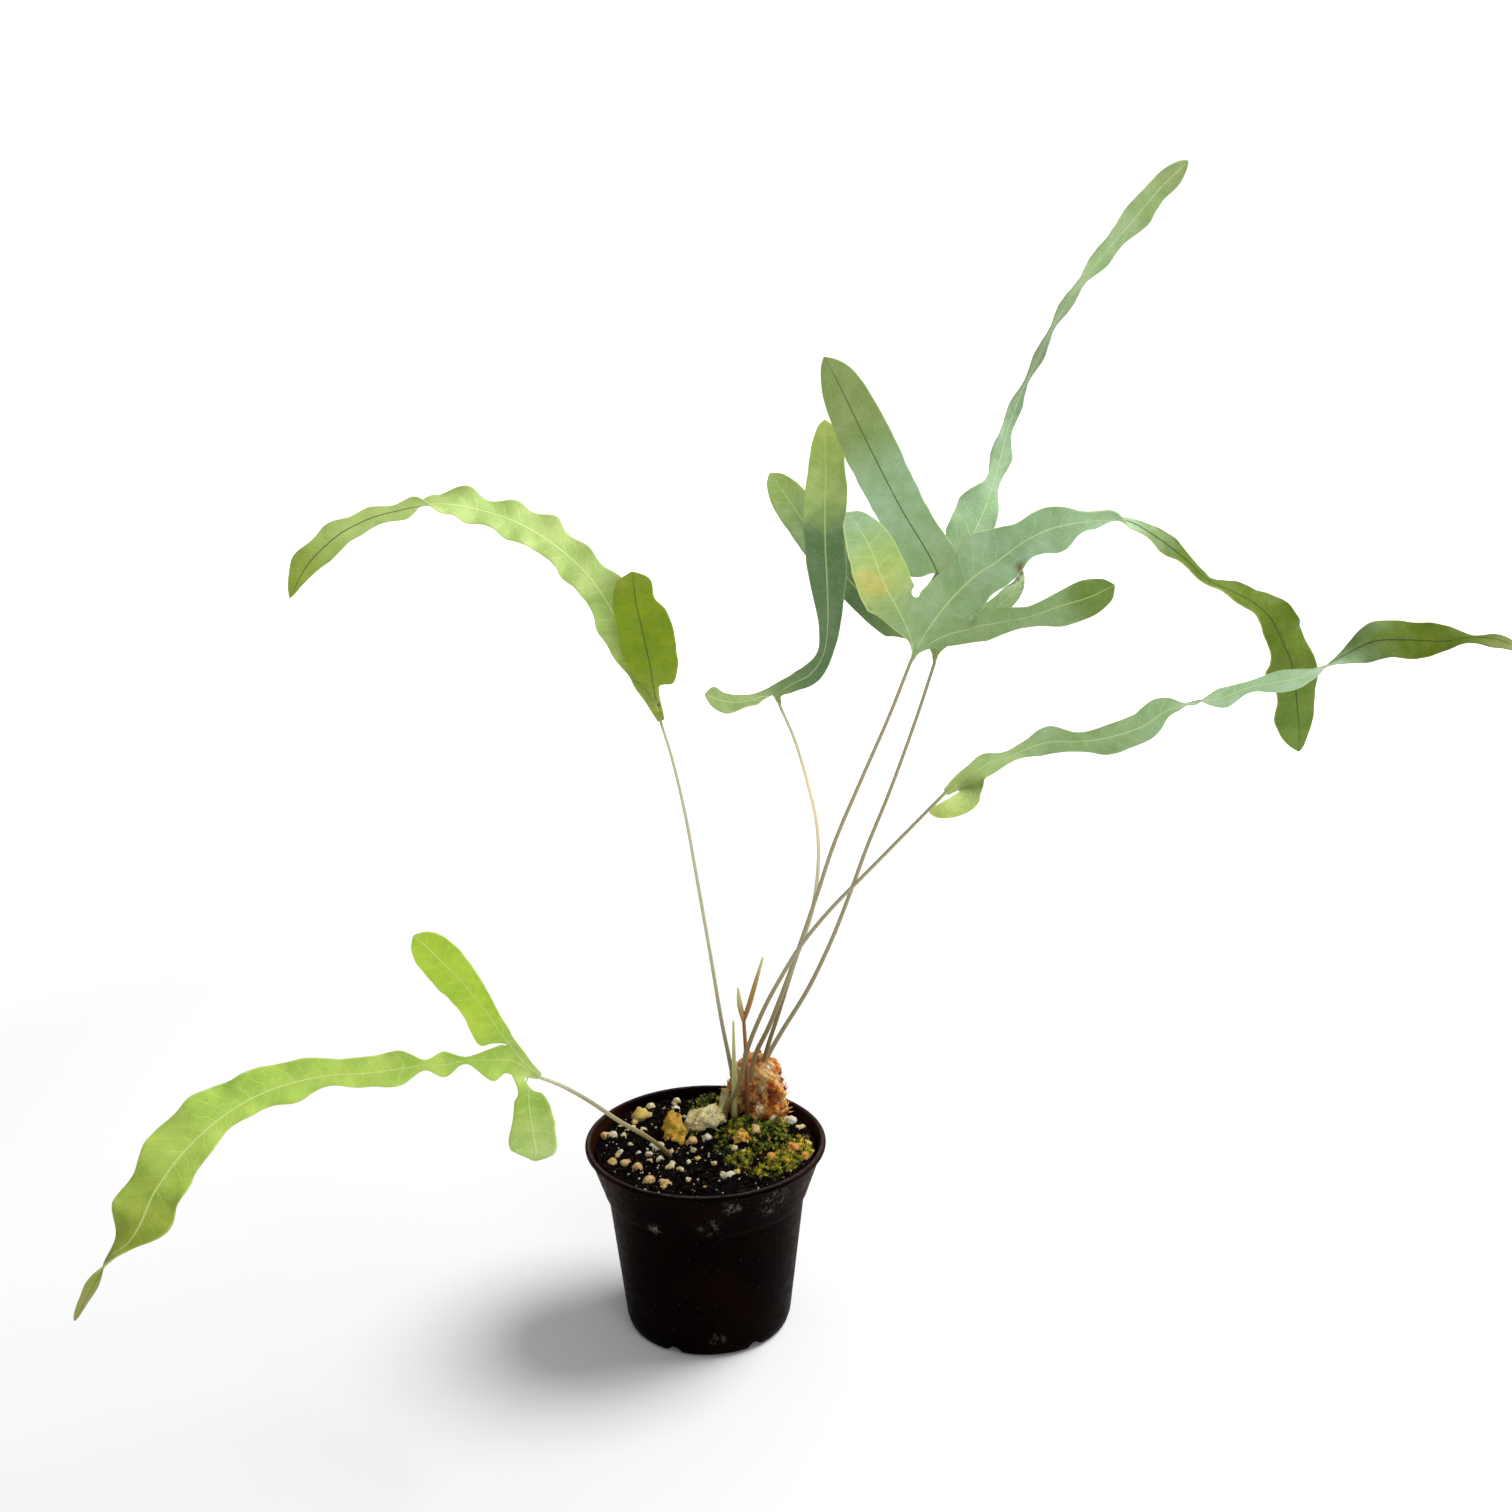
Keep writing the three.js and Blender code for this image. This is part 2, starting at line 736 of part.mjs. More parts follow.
const bladeColumns = 4;
const stalkSteps = 20;
function stalkRows(frond) {
  return stemRows(stalkPath(frond), [...frond.stalkRadii, 0.35], stalkSteps);
}

function frondSolid(frond) {
  const sheet = newSheet();
  const { rows, length } = spaced(frond.midrib, frond.steps);
  const lines = waved(rows, length, frond.steps, bladeColumns, frond.wave);
  const main = addStrip(sheet, lines);
  frond.lobes.forEach((lobe) => addLobe(sheet, main, lobe));
  relax(sheet, 4);
  return thickened(sheet, bladeThickness).add(stem(stalkRows(frond)));
}

// The hole a stem stands in: the stem's own foot, wider and a little deeper.
const stemHoles = [];
function stemHole(rows) {
  const top = rows.findIndex((row) => row[2] > potHeight + 20);
  const low = rows.slice(0, Math.max(3, top + 1)).map((row) => [...row]);
  const down = vector(low[0]).sub(vector(low[1])).normalize();
  low[0] = [...vector(low[0]).addScaledVector(down, 1).toArray(), low[0][3]];
  stemHoles.push(stem(low, clearance));
}

// Cut stalk and young frond

const cutStalk = stemRows(
  [
    [11, 25, 64],
    [11.5, 24, 84],
    [11.5, 22.5, 98],
    [11.5, 21, 113],
  ],
  [1.25, 1.15, 1.1],
  8,
);

const youngStalk = stemRows(
  [
    [16, 18.5, 68],
    [16.2, 19, 84],
    [16, 19, 100],
    [15.3, 18.5, 116],
  ],
  [0.95, 0.8, 0.7],
  8,
);
const youngLobes = [
  [
    [15.3, 18.5, 114],
    [14, 18, 121],
    [13.4, 17.5, 128],
  ],
  [
    [15.3, 18.5, 114],
    [17.4, 18, 120.5],
    [20, 17.5, 130],
    [22.9, 17, 140.5],
  ],
];

// Rhizomes: knobbly creeping stems, their bumps a sum of waves round and along them.
const rhizomeSteps = 9;
const rhizomeSides = 10;
function rhizome({ points, radii, bump }, extra) {
  const path = spaced(points.map((p, i) => [...p, radii[i]]), rhizomeSteps).rows;
  return tube(path, rhizomeSides, (radius, a, i) => {
    const rough = Math.sin(3 * a + 1.7 * i) + 0.7 * Math.sin(5 * a - 2.3 * i);
    return radius * (1 + bump * rough) + extra;
  });
}

const rhizomes = {
  rhizome_main: [
    {
      points: [
        [13.5, 30, 63],
        [14.5, 30.5, 76],
        [18, 30, 86],
        [22, 29, 87],
        [25.5, 27, 80],
        [26.5, 24, 71],
        [26.5, 22, 63],
      ],
      radii: [3, 5.2, 6.2, 6, 5.6, 4.4, 2.5],
      bump: 0.05,
    },
    {
      points: [
        [24, 24, 70],
        [26.5, 22.5, 75],
        [27, 22, 79],
      ],
      radii: [3, 3.6, 1.6],
      bump: 0.06,
    },
    {
      points: [
        [20, 28, 70],
        [21, 22.5, 74],
        [21, 20.5, 77],
      ],
      radii: [3, 3, 1.4],
      bump: 0.06,
    },
  ],
  rhizome_pale: [
    {
      points: [
        [-7, 14.5, 69.5],
        [-4, 15.5, 73],
        [0.5, 17, 74.5],
        [4, 19, 73.5],
        [5.5, 21, 70],
      ],
      radii: [1.8, 4, 4.6, 3.8, 1.6],
      bump: 0.08,
    },
    {
      points: [
        [4.5, 20, 72],
        [7, 22.5, 77],
        [8, 24, 83],
      ],
      radii: [1.8, 1.7, 1.5],
      bump: 0.02,
    },
  ],
  rhizome_bud_left: [
    {
      points: [
        [-11.5, 6, 66],
        [-11.5, 7, 72],
        [-12, 8.5, 78],
        [-13, 9.5, 81.5],
      ],
      radii: [3, 4.2, 3.2, 1],
      bump: 0.07,
    },
  ],
  rhizome_bud_front: [
    {
      points: [
        [13.5, 4.5, 67],
        [13.7, 4, 71.5],
        [13.5, 3, 75.5],
      ],
      radii: [2.2, 3.2, 1.2],
      bump: 0.06,
    },
  ],
};

function rhizomeSolid(pieces, extra = 0) {
  return pieces.map((piece) => rhizome(piece, extra)).reduce((whole, next) => whole.add(next));
}

// Potting mix: a filled body with a crumbly top, cushions of moss and white grains.

const mossCushions = [
  [15, 14, 6.5, 2.6],
  [26, 12, 5.5, 2.4],
  [2, 35, 5, 2],
  [28, -15, 6.5, 2.2],
  [34, -6, 5.5, 2.6],
  [12, -12, 5, 1.2],
];

function groundHeight(x, y) {
  let z = groundLevel;
  z += 0.7 * Math.sin(0.42 * x + 1.3) * Math.sin(0.5 * y + 0.4);
  z += 0.45 * Math.sin(0.95 * x - 0.6 * y + 2.1);
  z += 0.3 * Math.sin(1.5 * y + 0.8 * x);
  for (const [cx, cy, r, h] of mossCushions) {
    const d = Math.hypot(x - cx, y - cy) / r;
    if (d < 1) z += h * (1 - d * d) * (1 + 0.15 * Math.sin(2.1 * x + 1.7 * y));
  }
  return z;
}

const groundRings = 8;
const groundSpokes = 30;
function groundSolid() {
  const points = [[0, 0, groundHeight(0, 0)]];
  const ring = (r, heightAt) => {
    for (let j = 0; j < groundSpokes; j++) {
      const a = (2 * Math.PI * j) / groundSpokes;
      const [x, y] = [r * Math.cos(a), r * Math.sin(a)];
      points.push([x, y, heightAt(x, y)]);
    }
  };
  for (let i = 1; i <= groundRings; i++) ring((groundRadius * i) / groundRings, groundHeight);
  ring(innerRadius(collarFoot + 1.2) - clearance, () => collarFoot + 1.2);
  ring(innerRadius(collarFoot) - 1.2 - clearance, () => collarFoot);
  ring(innerRadius(ledgeHeight - 2) - clearance, () => ledgeHeight - 2);
  ring(innerRadius(floorTop + 3) - clearance, () => floorTop + 3);
  ring(innerRadius(floorTop + 3) - 2.6, () => floorTop + clearance);
  const bottom = points.push([0, 0, floorTop + clearance]) - 1;
  const rings = (bottom - 1) / groundSpokes;
  const triangles = [];
  for (let j = 0; j < groundSpokes; j++) {
    const next = (j + 1) % groundSpokes;
    triangles.push([0, 1 + j, 1 + next]);
    for (let i = 0; i + 1 < rings; i++) {
      const [a, b] = [1 + i * groundSpokes + j, 1 + i * groundSpokes + next];
      const [c, d] = [b + groundSpokes, a + groundSpokes];
      triangles.push([a, d, c], [a, c, b]);
    }
    const rim = 1 + (rings - 1) * groundSpokes;
    triangles.push([bottom, rim + next, rim + j]);
  }
  return solidFrom(points, triangles);
}

// White and buff grains, each x, y and radius, then smaller ones strewn by a seeded rule.
const grains = [
  [-37.5, 9, 1.8], [-35, 9.5, 1.5], [-32.5, 15.8, 1.3], [-31, 11, 1.3], [-32, -3.3, 1.5],
  [-33, -6.4, 1.2], [-25.4, 24.4, 3.2], [-21, 32, 1.5], [-24, 30, 1.3], [-22, 27, 1.5],
  [-11, 36, 1.5], [-11.2, 31, 1.5], [-27.5, 15.5, 1.3], [-23.7, 13.7, 1.3], [-18, 0, 2.4],
  [-5, 3.5, 1.9], [-24.9, -4.5, 1.3], [-21.2, -5.5, 1.3], [-21, -10, 1.3], [-17, -9.6, 1.3],
  [-12.6, -14.4, 1.9], [-9.6, -17.6, 1.2], [-6.5, -11.6, 1], [-4.5, -4.8, 1.2],
  [-3, -9.5, 1.2], [-34.4, -10.9, 1.7], [-30, -12.7, 1.7], [-25, -16, 1.7], [-21, -25, 1.9],
  [-15.4, -27, 2.1], [-6.3, -25.3, 1.3], [0.6, 6, 2.1], [19, 10, 1.7], [10.5, -4.2, 1.2],
  [13.9, -4.8, 1.2], [7.9, -23, 2.4], [11.2, -21.8, 1.5], [32.5, 17, 2.2], [36.5, 13, 1.7],
  [35, 20, 1.2], [38.6, -2, 1.2], [8, 36, 1.7],
];
const strewnGrains = 14;

function grain(x, y, radius, random) {
  const round = radius > 2.2;
  const geometry = round
    ? new THREE.IcosahedronGeometry(radius, 0)
    : new THREE.OctahedronGeometry(radius, 0);
  geometry.rotateZ(random() * Math.PI);
  geometry.rotateX(random() * Math.PI);
  geometry.scale(0.85 + 0.4 * random(), 0.85 + 0.3 * random(), 0.75);
  const away = Math.hypot(x, y);
  const pull = Math.min(1, (groundRadius - 1.3 * radius) / away);
  const [gx, gy] = [x * pull, y * pull];
  geometry.translate(gx, gy, groundHeight(gx, gy) + radius * 0.22);
  return solidOfGeometry(geometry);
}

function mixSolid() {
  const random = numbersFrom(4127);
  const pieces = grains.map(([x, y, r]) => grain(x, y, r, random));
  for (let i = 0; i < strewnGrains; i++) {
    const angle = random() * 2 * Math.PI;
    const away = 38.5 * Math.sqrt(random());
    pieces.push(grain(away * Math.cos(angle), away * Math.sin(angle), 0.8 + 0.5 * random(), random));
  }
  let mix = groundSolid().add(wasm.Manifold.union(pieces));
  for (const pieces of Object.values(rhizomes))
    mix = mix.subtract(rhizomeSolid(pieces, clearance));
  mix = mix.subtract(wasm.Manifold.union(stemHoles));
  return mix.decompose().sort((a, b) => b.volume() - a.volume())[0];
}

// Pot

function outerRadius(z) {
  if (z < ledgeHeight)
    return bodyFootRadius + ((bodyTopRadius - bodyFootRadius) * z) / ledgeHeight;
  const rise = (z - collarFoot) / (potHeight - lipDrop - collarFoot);
  return collarFootRadius + (lipRadius - 1.3 - collarFootRadius) * rise;
}
function innerRadius(z) {
  return outerRadius(z) - wall;
}

function potSolid() {
  const lipFoot = potHeight - lipDrop;
  const profile = [
    [0, 0],
    [11, 0],
    [12.5, 1.4],
    [24.5, 1.4],
    [25.6, 0],
    [27.8, 0],
    [30.4, 1.4],
    [31.3, 4.4],
    [outerRadius(ledgeHeight - 1), ledgeHeight - 1],
    [collarFootRadius - 0.3, collarFoot - 1.2],
    [collarFootRadius, collarFoot],
    [outerRadius(lipFoot), lipFoot],
    [lipRadius - 0.5, lipFoot + 0.3],
    [lipRadius, lipFoot + 1],
    [lipRadius, potHeight - 0.8],
    [lipRadius - 1, potHeight],
    [lipRadius - 2.1, potHeight - 0.5],
    [innerRadius(lipFoot), lipFoot],
    [innerRadius(collarFoot + 0.6), collarFoot + 0.6],
    [innerRadius(collarFoot) - 1.2, collarFoot - 0.6],
    [innerRadius(ledgeHeight - 1), ledgeHeight - 1.6],
    [innerRadius(6), 6],
    [innerRadius(6) - 2.2, floorTop],
    [0, floorTop],
  ];
  let pot = lathed(profile, potSegments);
  const slots = 6;
  for (let i = 0; i < slots; i++) {
    const slot = new THREE.CylinderGeometry(3.4, 3.4, 12, 12);
    slot.rotateZ(Math.PI / 2);
    slot.translate(bodyFootRadius, 0, 0.4);
    slot.rotateZ(((-56 + (360 / slots) * i) * Math.PI) / 180);
    pot = pot.subtract(solidOfGeometry(slot));
  }
  return pot;
}

// Assembly

const plant = new THREE.Group();
function addPiece(name, solid, color, roughness) {
  const mesh = solid.simplify(0.012).getMesh();
  const geometry = new THREE.BufferGeometry();
  const place = new Float32Array(mesh.numVert * 3);
  for (let i = 0; i < mesh.numVert; i++)
    place.set(mesh.vertProperties.subarray(i * mesh.numProp, i * mesh.numProp + 3), i * 3);
  geometry.setAttribute("position", new THREE.BufferAttribute(place, 3));
  geometry.setIndex(new THREE.BufferAttribute(mesh.triVerts, 1));
  geometry.computeVertexNormals();
  const material = new THREE.MeshStandardMaterial({ color, roughness, metalness: 0 });
  const piece = new THREE.Mesh(geometry, material);
  piece.name = name;
  plant.add(piece);
}

const frondColors = {
  frond_left: "#aebf6e",
  frond_middle: "#92ae67",
  frond_front: "#87a05a",
  frond_back: "#9fbb90",
  frond_right: "#98b086",
  frond_low: "#aac660",
};

for (const frond of Object.values(fronds)) stemHole(stalkRows(frond));
stemHole(cutStalk);
stemHole(youngStalk);

addPiece("pot", potSolid(), "#14100f", 0.35);
addPiece("potting_mix", mixSolid(), "#1c1511", 0.95);

const rhizomeColors = {
  rhizome_main: "#6b4020",
  rhizome_pale: "#e2d59c",
  rhizome_bud_left: "#d0a043",
  rhizome_bud_front: "#c98f3c",
};
for (const [name, pieces] of Object.entries(rhizomes)) {
  const holes = wasm.Manifold.union(stemHoles);
  const solid = rhizomeSolid(pieces).subtract(holes);
  const whole = solid.decompose().sort((a, b) => b.volume() - a.volume())[0];
  addPiece(name, whole, rhizomeColors[name], 0.85);
}

for (const [name, frond] of Object.entries(fronds))
  addPiece(name, frondSolid(frond), frondColors[name], 0.5);

addPiece("cut_stalk", stem(cutStalk), "#b9c47a", 0.6);
const youngFrond = youngLobes
  .map((path) => stem(stemRows(path, [0.8, 1.1, 0.4], 8)))
  .reduce((whole, next) => whole.add(next), stem(youngStalk));
addPiece("young_frond", youngFrond, "#8a6a3a", 0.6);

export default plant;
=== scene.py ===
# Potted blue star fern in a small nursery pot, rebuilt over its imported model.
import math
import random

import bmesh
import bpy
from mathutils import Matrix, Vector, noise
from mathutils.bvhtree import BVHTree
from mathutils.geometry import interpolate_bezier
from mathutils.kdtree import KDTree


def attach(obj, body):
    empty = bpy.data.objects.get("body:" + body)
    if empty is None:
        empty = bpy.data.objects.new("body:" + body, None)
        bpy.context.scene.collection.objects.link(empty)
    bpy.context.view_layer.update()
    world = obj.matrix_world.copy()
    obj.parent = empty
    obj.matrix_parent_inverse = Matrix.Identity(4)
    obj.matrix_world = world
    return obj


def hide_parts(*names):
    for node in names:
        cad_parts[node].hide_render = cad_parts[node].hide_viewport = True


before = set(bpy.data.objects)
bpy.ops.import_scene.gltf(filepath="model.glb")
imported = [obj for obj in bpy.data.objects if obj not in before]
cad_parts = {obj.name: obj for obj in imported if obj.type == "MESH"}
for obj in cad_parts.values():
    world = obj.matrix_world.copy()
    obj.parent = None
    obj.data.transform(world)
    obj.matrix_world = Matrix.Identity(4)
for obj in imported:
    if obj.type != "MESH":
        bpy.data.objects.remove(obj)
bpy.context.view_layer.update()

mm = 0.001  # the rows and sizes below are in millimetres
upward = Vector((0, 0, 1))
anyTurn = 6.3  # just over a full turn, for random headings


# colours are chosen as they look on screen, and shaders want them linear
def linear(color, share=1.0):
    made = []
    for c in color[:3]:
        c = c / 255
        c = ((c + 0.055) / 1.055) ** 2.4 if c > 0.04 else c / 12.92
        made.append(c * share)
    return (*made, 1.0)


def mixed(a, b, t):
    return tuple(x + (y - x) * t for x, y in zip(a, b))


def smooth(x):
    w = min(1, max(0, x))
    return w * w * (3 - 2 * w)


# the colour at t among stops of (t, color)
def atStop(stops, t, share=1.0):
    if t <= stops[0][0]:
        return linear(stops[0][1], share)
    for (a, first), (b, second) in zip(stops, stops[1:]):
        if t <= b:
            return mixed(linear(first, share), linear(second, share), smooth((t - a) / (b - a)))
    return linear(stops[-1][1], share)


# a finished piece: its mesh in metres, on the root body, with the node it stands for
def addPiece(name, bm, materials, nodes=()):
    bmesh.ops.scale(bm, vec=(mm, mm, mm), verts=bm.verts)
    mesh = bpy.data.meshes.new(name)
    bm.to_mesh(mesh)
    bm.free()
    for material in materials:
        mesh.materials.append(material)
    mesh.shade_smooth()
    piece = bpy.data.objects.new(name, mesh)
    bpy.context.scene.collection.objects.link(piece)
    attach(piece, "root")
    if nodes:
        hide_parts(*nodes)
    return piece


def addSubdivision(piece, levels):
    soft = piece.modifiers.new("soft", "SUBSURF")
    soft.levels = levels
    soft.render_levels = levels


# an evenly numbered sheet of vertices, as rows of columns
def sheetGrid(bm, rowCount, columnCount):
    made = bmesh.ops.create_grid(bm, x_segments=columnCount, y_segments=rowCount, size=1)
    lines = [[None] * (columnCount + 1) for _ in range(rowCount + 1)]
    for vert in made["verts"]:
        column = round((vert.co.x + 1) / 2 * columnCount)
        row = round((vert.co.y + 1) / 2 * rowCount)
        lines[row][column] = vert
    return lines


# one small mesh set down many times, each copy with its own matrix and tint
def scattered(templates, places):
    whole = bmesh.new()
    whole.verts.layers.float_color.new("tint")
    for kind, matrix, tint in places:
        mesh = templates[kind % len(templates)]
        shape = mesh.attributes["tint"]
        shape.data.foreach_set("color", list(tint) * len(mesh.vertices))
        mesh.transform(matrix)
        whole.from_mesh(mesh)
        mesh.transform(matrix.inverted())
    for mesh in templates:
        bpy.data.meshes.remove(mesh)
    return whole


def templateFrom(bm):
    mesh = bpy.data.meshes.new("template")
    bm.to_mesh(mesh)
    bm.free()
    mesh.attributes.new("tint", "FLOAT_COLOR", "POINT")
    return mesh


# paths
def between(rows, t):
    place = t * (len(rows) - 1)
    i = min(int(place), len(rows) - 2)
    w = place - i
    b, c = rows[i], rows[i + 1]
    a = rows[i - 1] if i > 0 else [2 * x - y for x, y in zip(b, c)]
    d = rows[i + 2] if i + 2 < len(rows) else [2 * y - x for x, y in zip(b, c)]
    out = []
    for p, q, r, s in zip(a, b, c, d):
        out.append(0.5 * (2 * q + (r - p) * w + (2 * p - 5 * q + 4 * r - s) * w * w
                          + (3 * q - p - 3 * r + s) * w ** 3))
    return out


# count + 1 rows spaced evenly along the curve through the given rows, and its length
def spacedRows(rows, count):
    fine = max(800, count * 4)
    points = [between(rows, i / fine) for i in range(fine + 1)]
    run = [0]
    for p, q in zip(points, points[1:]):
        run.append(run[-1] + math.dist(p[:3], q[:3]))
    out, j = [], 0
    for i in range(count + 1):
        want = run[-1] * i / count
        while j < fine - 1 and run[j + 1] < want:
            j += 1
        w = min(1, max(0, (want - run[j]) / ((run[j + 1] - run[j]) or 1)))
        out.append(mixed(points[j], points[j + 1], w))
    return out, run[-1]


# a round stem along rows of x, y, z, radius, drawn to a point at both ends
def addStem(bm, rows, sides, swell=None):
    first, last = rows[0], rows[-1]
    rows = [(*first[:3], 0)] + list(rows) + [(*last[:3], 0)]
    lines = sheetGrid(bm, len(rows) - 1, sides)
    across = Vector((1, 0, 0))
    for i, (row, line) in enumerate(zip(rows, lines)):
        before = Vector(rows[max(0, i - 2)][:3])
        after = Vector(rows[min(len(rows) - 1, i + 2)][:3])
        along = (after - before).normalized()
        across = (across - along * across.dot(along)).normalized()
        side = along.cross(across)
        for j, vert in enumerate(line):
            a = 2 * math.pi * j / sides
            radius = swell(row[3], a, i) if swell and row[3] else row[3]
            vert.co = Vector(row[:3]) + (across * math.cos(a) + side * math.sin(a)) * radius
    return lines


def closeUp(bm, distance=0.002):
    bmesh.ops.remove_doubles(bm, verts=bm.verts, dist=distance)
    bmesh.ops.recalc_face_normals(bm, faces=bm.faces)


# shader nodes
def addNode(tree, kind, inputs=None, **settings):
    made = tree.nodes.new("ShaderNode" + kind)
    for key, value in settings.items():
        setattr(made, key, value)
    for key, value in (inputs or {}).items():
        if isinstance(value, bpy.types.NodeSocket):
            tree.links.new(value, made.inputs[key])
        else:
            made.inputs[key].default_value = value
    return made


def maths(tree, operation, a, b=0.0, c=0.0):
    return addNode(tree, "Math", {0: a, 1: b, 2: c}, operation=operation).outputs[0]


def blend(tree, share, a, b, mode="MIX"):
    inputs = {0: share, 6: a, 7: b}
    return addNode(tree, "Mix", inputs, data_type="RGBA", blend_type=mode).outputs[2]


def multiplied(tree, a, b):
    return blend(tree, 1.0, a, b, "MULTIPLY")


def fade(tree, value, low, high, start=0.0, end=1.0):
    inputs = {0: value, 1: low, 2: high, 3: start, 4: end}
    made = addNode(tree, "MapRange", inputs, interpolation_type="SMOOTHSTEP")
    return made.outputs[0]


def noiseAt(tree, place, scale, detail=3.0, rough=0.55):
    inputs = {"Vector": place, "Scale": scale, "Detail": detail, "Roughness": rough}
    return addNode(tree, "TexNoise", inputs).outputs[0]


def objectPlace(tree):
    return addNode(tree, "TexCoord").outputs["Object"]


def newMaterial(name, **settings):
    material = bpy.data.materials.new(name)
    material.use_nodes = True
    shader = material.node_tree.nodes["Principled BSDF"]
    for key, value in settings.items():
        shader.inputs[key].default_value = value
    return material, material.node_tree, shader


def feed(tree, shader, **sockets):
    for key, socket in sockets.items():
        tree.links.new(socket, shader.inputs[key.replace("_", " ")])


def bumped(tree, shader, height, distance, strength=1.0):
    inputs = {"Height": height, "Distance": distance, "Strength": strength}
    feed(tree, shader, Normal=addNode(tree, "Bump", inputs).outputs[0])


def newGroup(name, takes, gives):
    group = bpy.data.node_groups.new(name, "ShaderNodeTree")
    kinds = {"vector": "NodeSocketVector", "color": "NodeSocketColor", "float": "NodeSocketFloat"}
    for key, kind in takes.items():
        group.interface.new_socket(name=key, in_out="INPUT", socket_type=kinds[kind])
    for key, kind in gives.items():
        group.interface.new_socket(name=key, in_out="OUTPUT", socket_type=kinds[kind])
    return group, group.nodes.new("NodeGroupInput"), group.nodes.new("NodeGroupOutput")


def useGroup(tree, group, **inputs):
    made = addNode(tree, "Group", node_tree=group)
    for key, value in inputs.items():
        if isinstance(value, bpy.types.NodeSocket):
            tree.links.new(value, made.inputs[key])
        else:
            made.inputs[key].default_value = value
    return made.outputs


# broad and fine unevenness, and a scatter of small specks, on any place in metres
mottle, mottleIn, mottleOut = newGroup(
    "mottle", {"Place": "vector", "Size": "float"},
    {"Broad": "float", "Fine": "float", "Specks": "float"})
mottleSize = maths(mottle, "DIVIDE", 1.0, mottleIn.outputs["Size"])
broadNoise = noiseAt(mottle, mottleIn.outputs["Place"], mottleSize, 2.0)
fineSize = maths(mottle, "MULTIPLY", mottleSize, 7.0)
fineNoise = noiseAt(mottle, mottleIn.outputs["Place"], fineSize, 4.0)
speckCells = addNode(mottle, "TexVoronoi", {
    "Vector": mottleIn.outputs["Place"], "Scale": maths(mottle, "MULTIPLY", mottleSize, 3.0)})
speckHere = addNode(mottle, "SeparateColor", {0: speckCells.outputs["Color"]}).outputs[0]
speckReach = maths(mottle, "MULTIPLY", speckHere, 0.12)
speckMask = maths(mottle, "LESS_THAN", speckCells.outputs["Distance"], speckReach)
mottle.links.new(fade(mottle, broadNoise, 0.3, 0.7), mottleOut.inputs["Broad"])
mottle.links.new(fade(mottle, fineNoise, 0.3, 0.7), mottleOut.inputs["Fine"])
mottle.links.new(speckMask, mottleOut.inputs["Specks"])


# a material with the mottling at one size and the mesh's own tint
def tintedMaterial(name, size, **settings):
    material, tree, shader = newMaterial(name, **settings)
    place = objectPlace(tree)
    spread = useGroup(tree, mottle, Place=place, Size=size)
    tint = addNode(tree, "Attribute", attribute_name="tint").outputs["Color"]
    return material, tree, shader, place, spread, tint


print("tools ready")

# the camera and its light
view = {
    "place": (0.0, -0.7396, 0.4641), "pitch": 17.925, "yaw": -1.613, "roll": -0.777,
    "lens": 52.38,
}
cameraData = bpy.data.cameras.new("camera")
cameraData.lens = view["lens"]
cameraData.sensor_width = 36
cameraData.clip_start = 0.01
camera = bpy.data.objects.new("camera", cameraData)
turnDown = Matrix.Rotation(math.radians(90 - view["pitch"]), 4, "X")
turnAside = Matrix.Rotation(math.radians(view["yaw"]), 4, "Z")
turnOver = Matrix.Rotation(math.radians(view["roll"]), 4, "Z")
camera.matrix_world = Matrix.Translation(view["place"]) @ turnAside @ turnDown @ turnOver
bpy.context.scene.collection.objects.link(camera)
bpy.context.scene.camera = camera

studio = {
    "key": {"place": (1.1, 0.35, 1.7), "size": 1.3, "power": 45},
    "fill": {"place": (0.45, -1.8, 1.35), "size": 1.5, "power": 11},
    "around": 0.34, "floor": 0.83,
    "nearReach": (0.08, 0.32), "nearLight": 0.08, "farReach": (0.4, 0.85), "farLight": 0.78,
}
for name in ("key", "fill"):
    light = bpy.data.lights.new(name, "AREA")
    light.shape = "DISK"
    light.size = studio[name]["size"]
    light.energy = studio[name]["power"]
    lamp = bpy.data.objects.new(name, light)
    place = Vector(studio[name]["place"])
    aim = (Vector((0, 0, 0.1)) - place).to_track_quat("-Z", "Y")
    lamp.matrix_world = Matrix.Translation(place) @ aim.to_matrix().to_4x4()
    bpy.context.scene.collection.objects.link(lamp)

world = bpy.data.worlds.new("studio")
world.use_nodes = True
bpy.context.scene.world = world
sky = world.node_tree.nodes["Background"]
seen = addNode(world.node_tree, "LightPath").outputs["Is Camera Ray"]
sky.inputs["Color"].default_value = (1, 1, 1, 1)
world.node_tree.links.new(
    maths(world.node_tree, "MAXIMUM", seen, studio["around"]), sky.inputs["Strength"])
bpy.context.scene.view_settings.view_transform = "Standard"

# a white sweep of floor: plain near the pot, and lit through further out
floorMaterial, tree, shader = newMaterial("floor", Roughness=0.9)
shader.inputs["Base Color"].default_value = (*[studio["floor"]] * 3, 1)
shader.inputs["Specular IOR Level"].default_value = 0.0
away = addNode(tree, "VectorMath", {0: objectPlace(tree)}, operation="LENGTH").outputs["Value"]
near = fade(tree, away, *studio["nearReach"])
lit = blend(tree, near, (0, 0, 0, 1), (*[studio["nearLight"]] * 3, 1))
far = fade(tree, away, *studio["farReach"])
feed(tree, shader, Emission_Color=blend(tree, far, lit, (*[studio["farLight"]] * 3, 1)))
shader.inputs["Emission Strength"].default_value = 1.0
bm = bmesh.new()
bmesh.ops.create_circle(bm, cap_ends=True, segments=96, radius=14)
floorMesh = bpy.data.meshes.new("floor")
bm.to_mesh(floorMesh)
bm.free()
floorMesh.materials.append(floorMaterial)
floor = bpy.data.objects.new("floor", floorMesh)
bpy.context.scene.collection.objects.link(floor)
print("stage set")

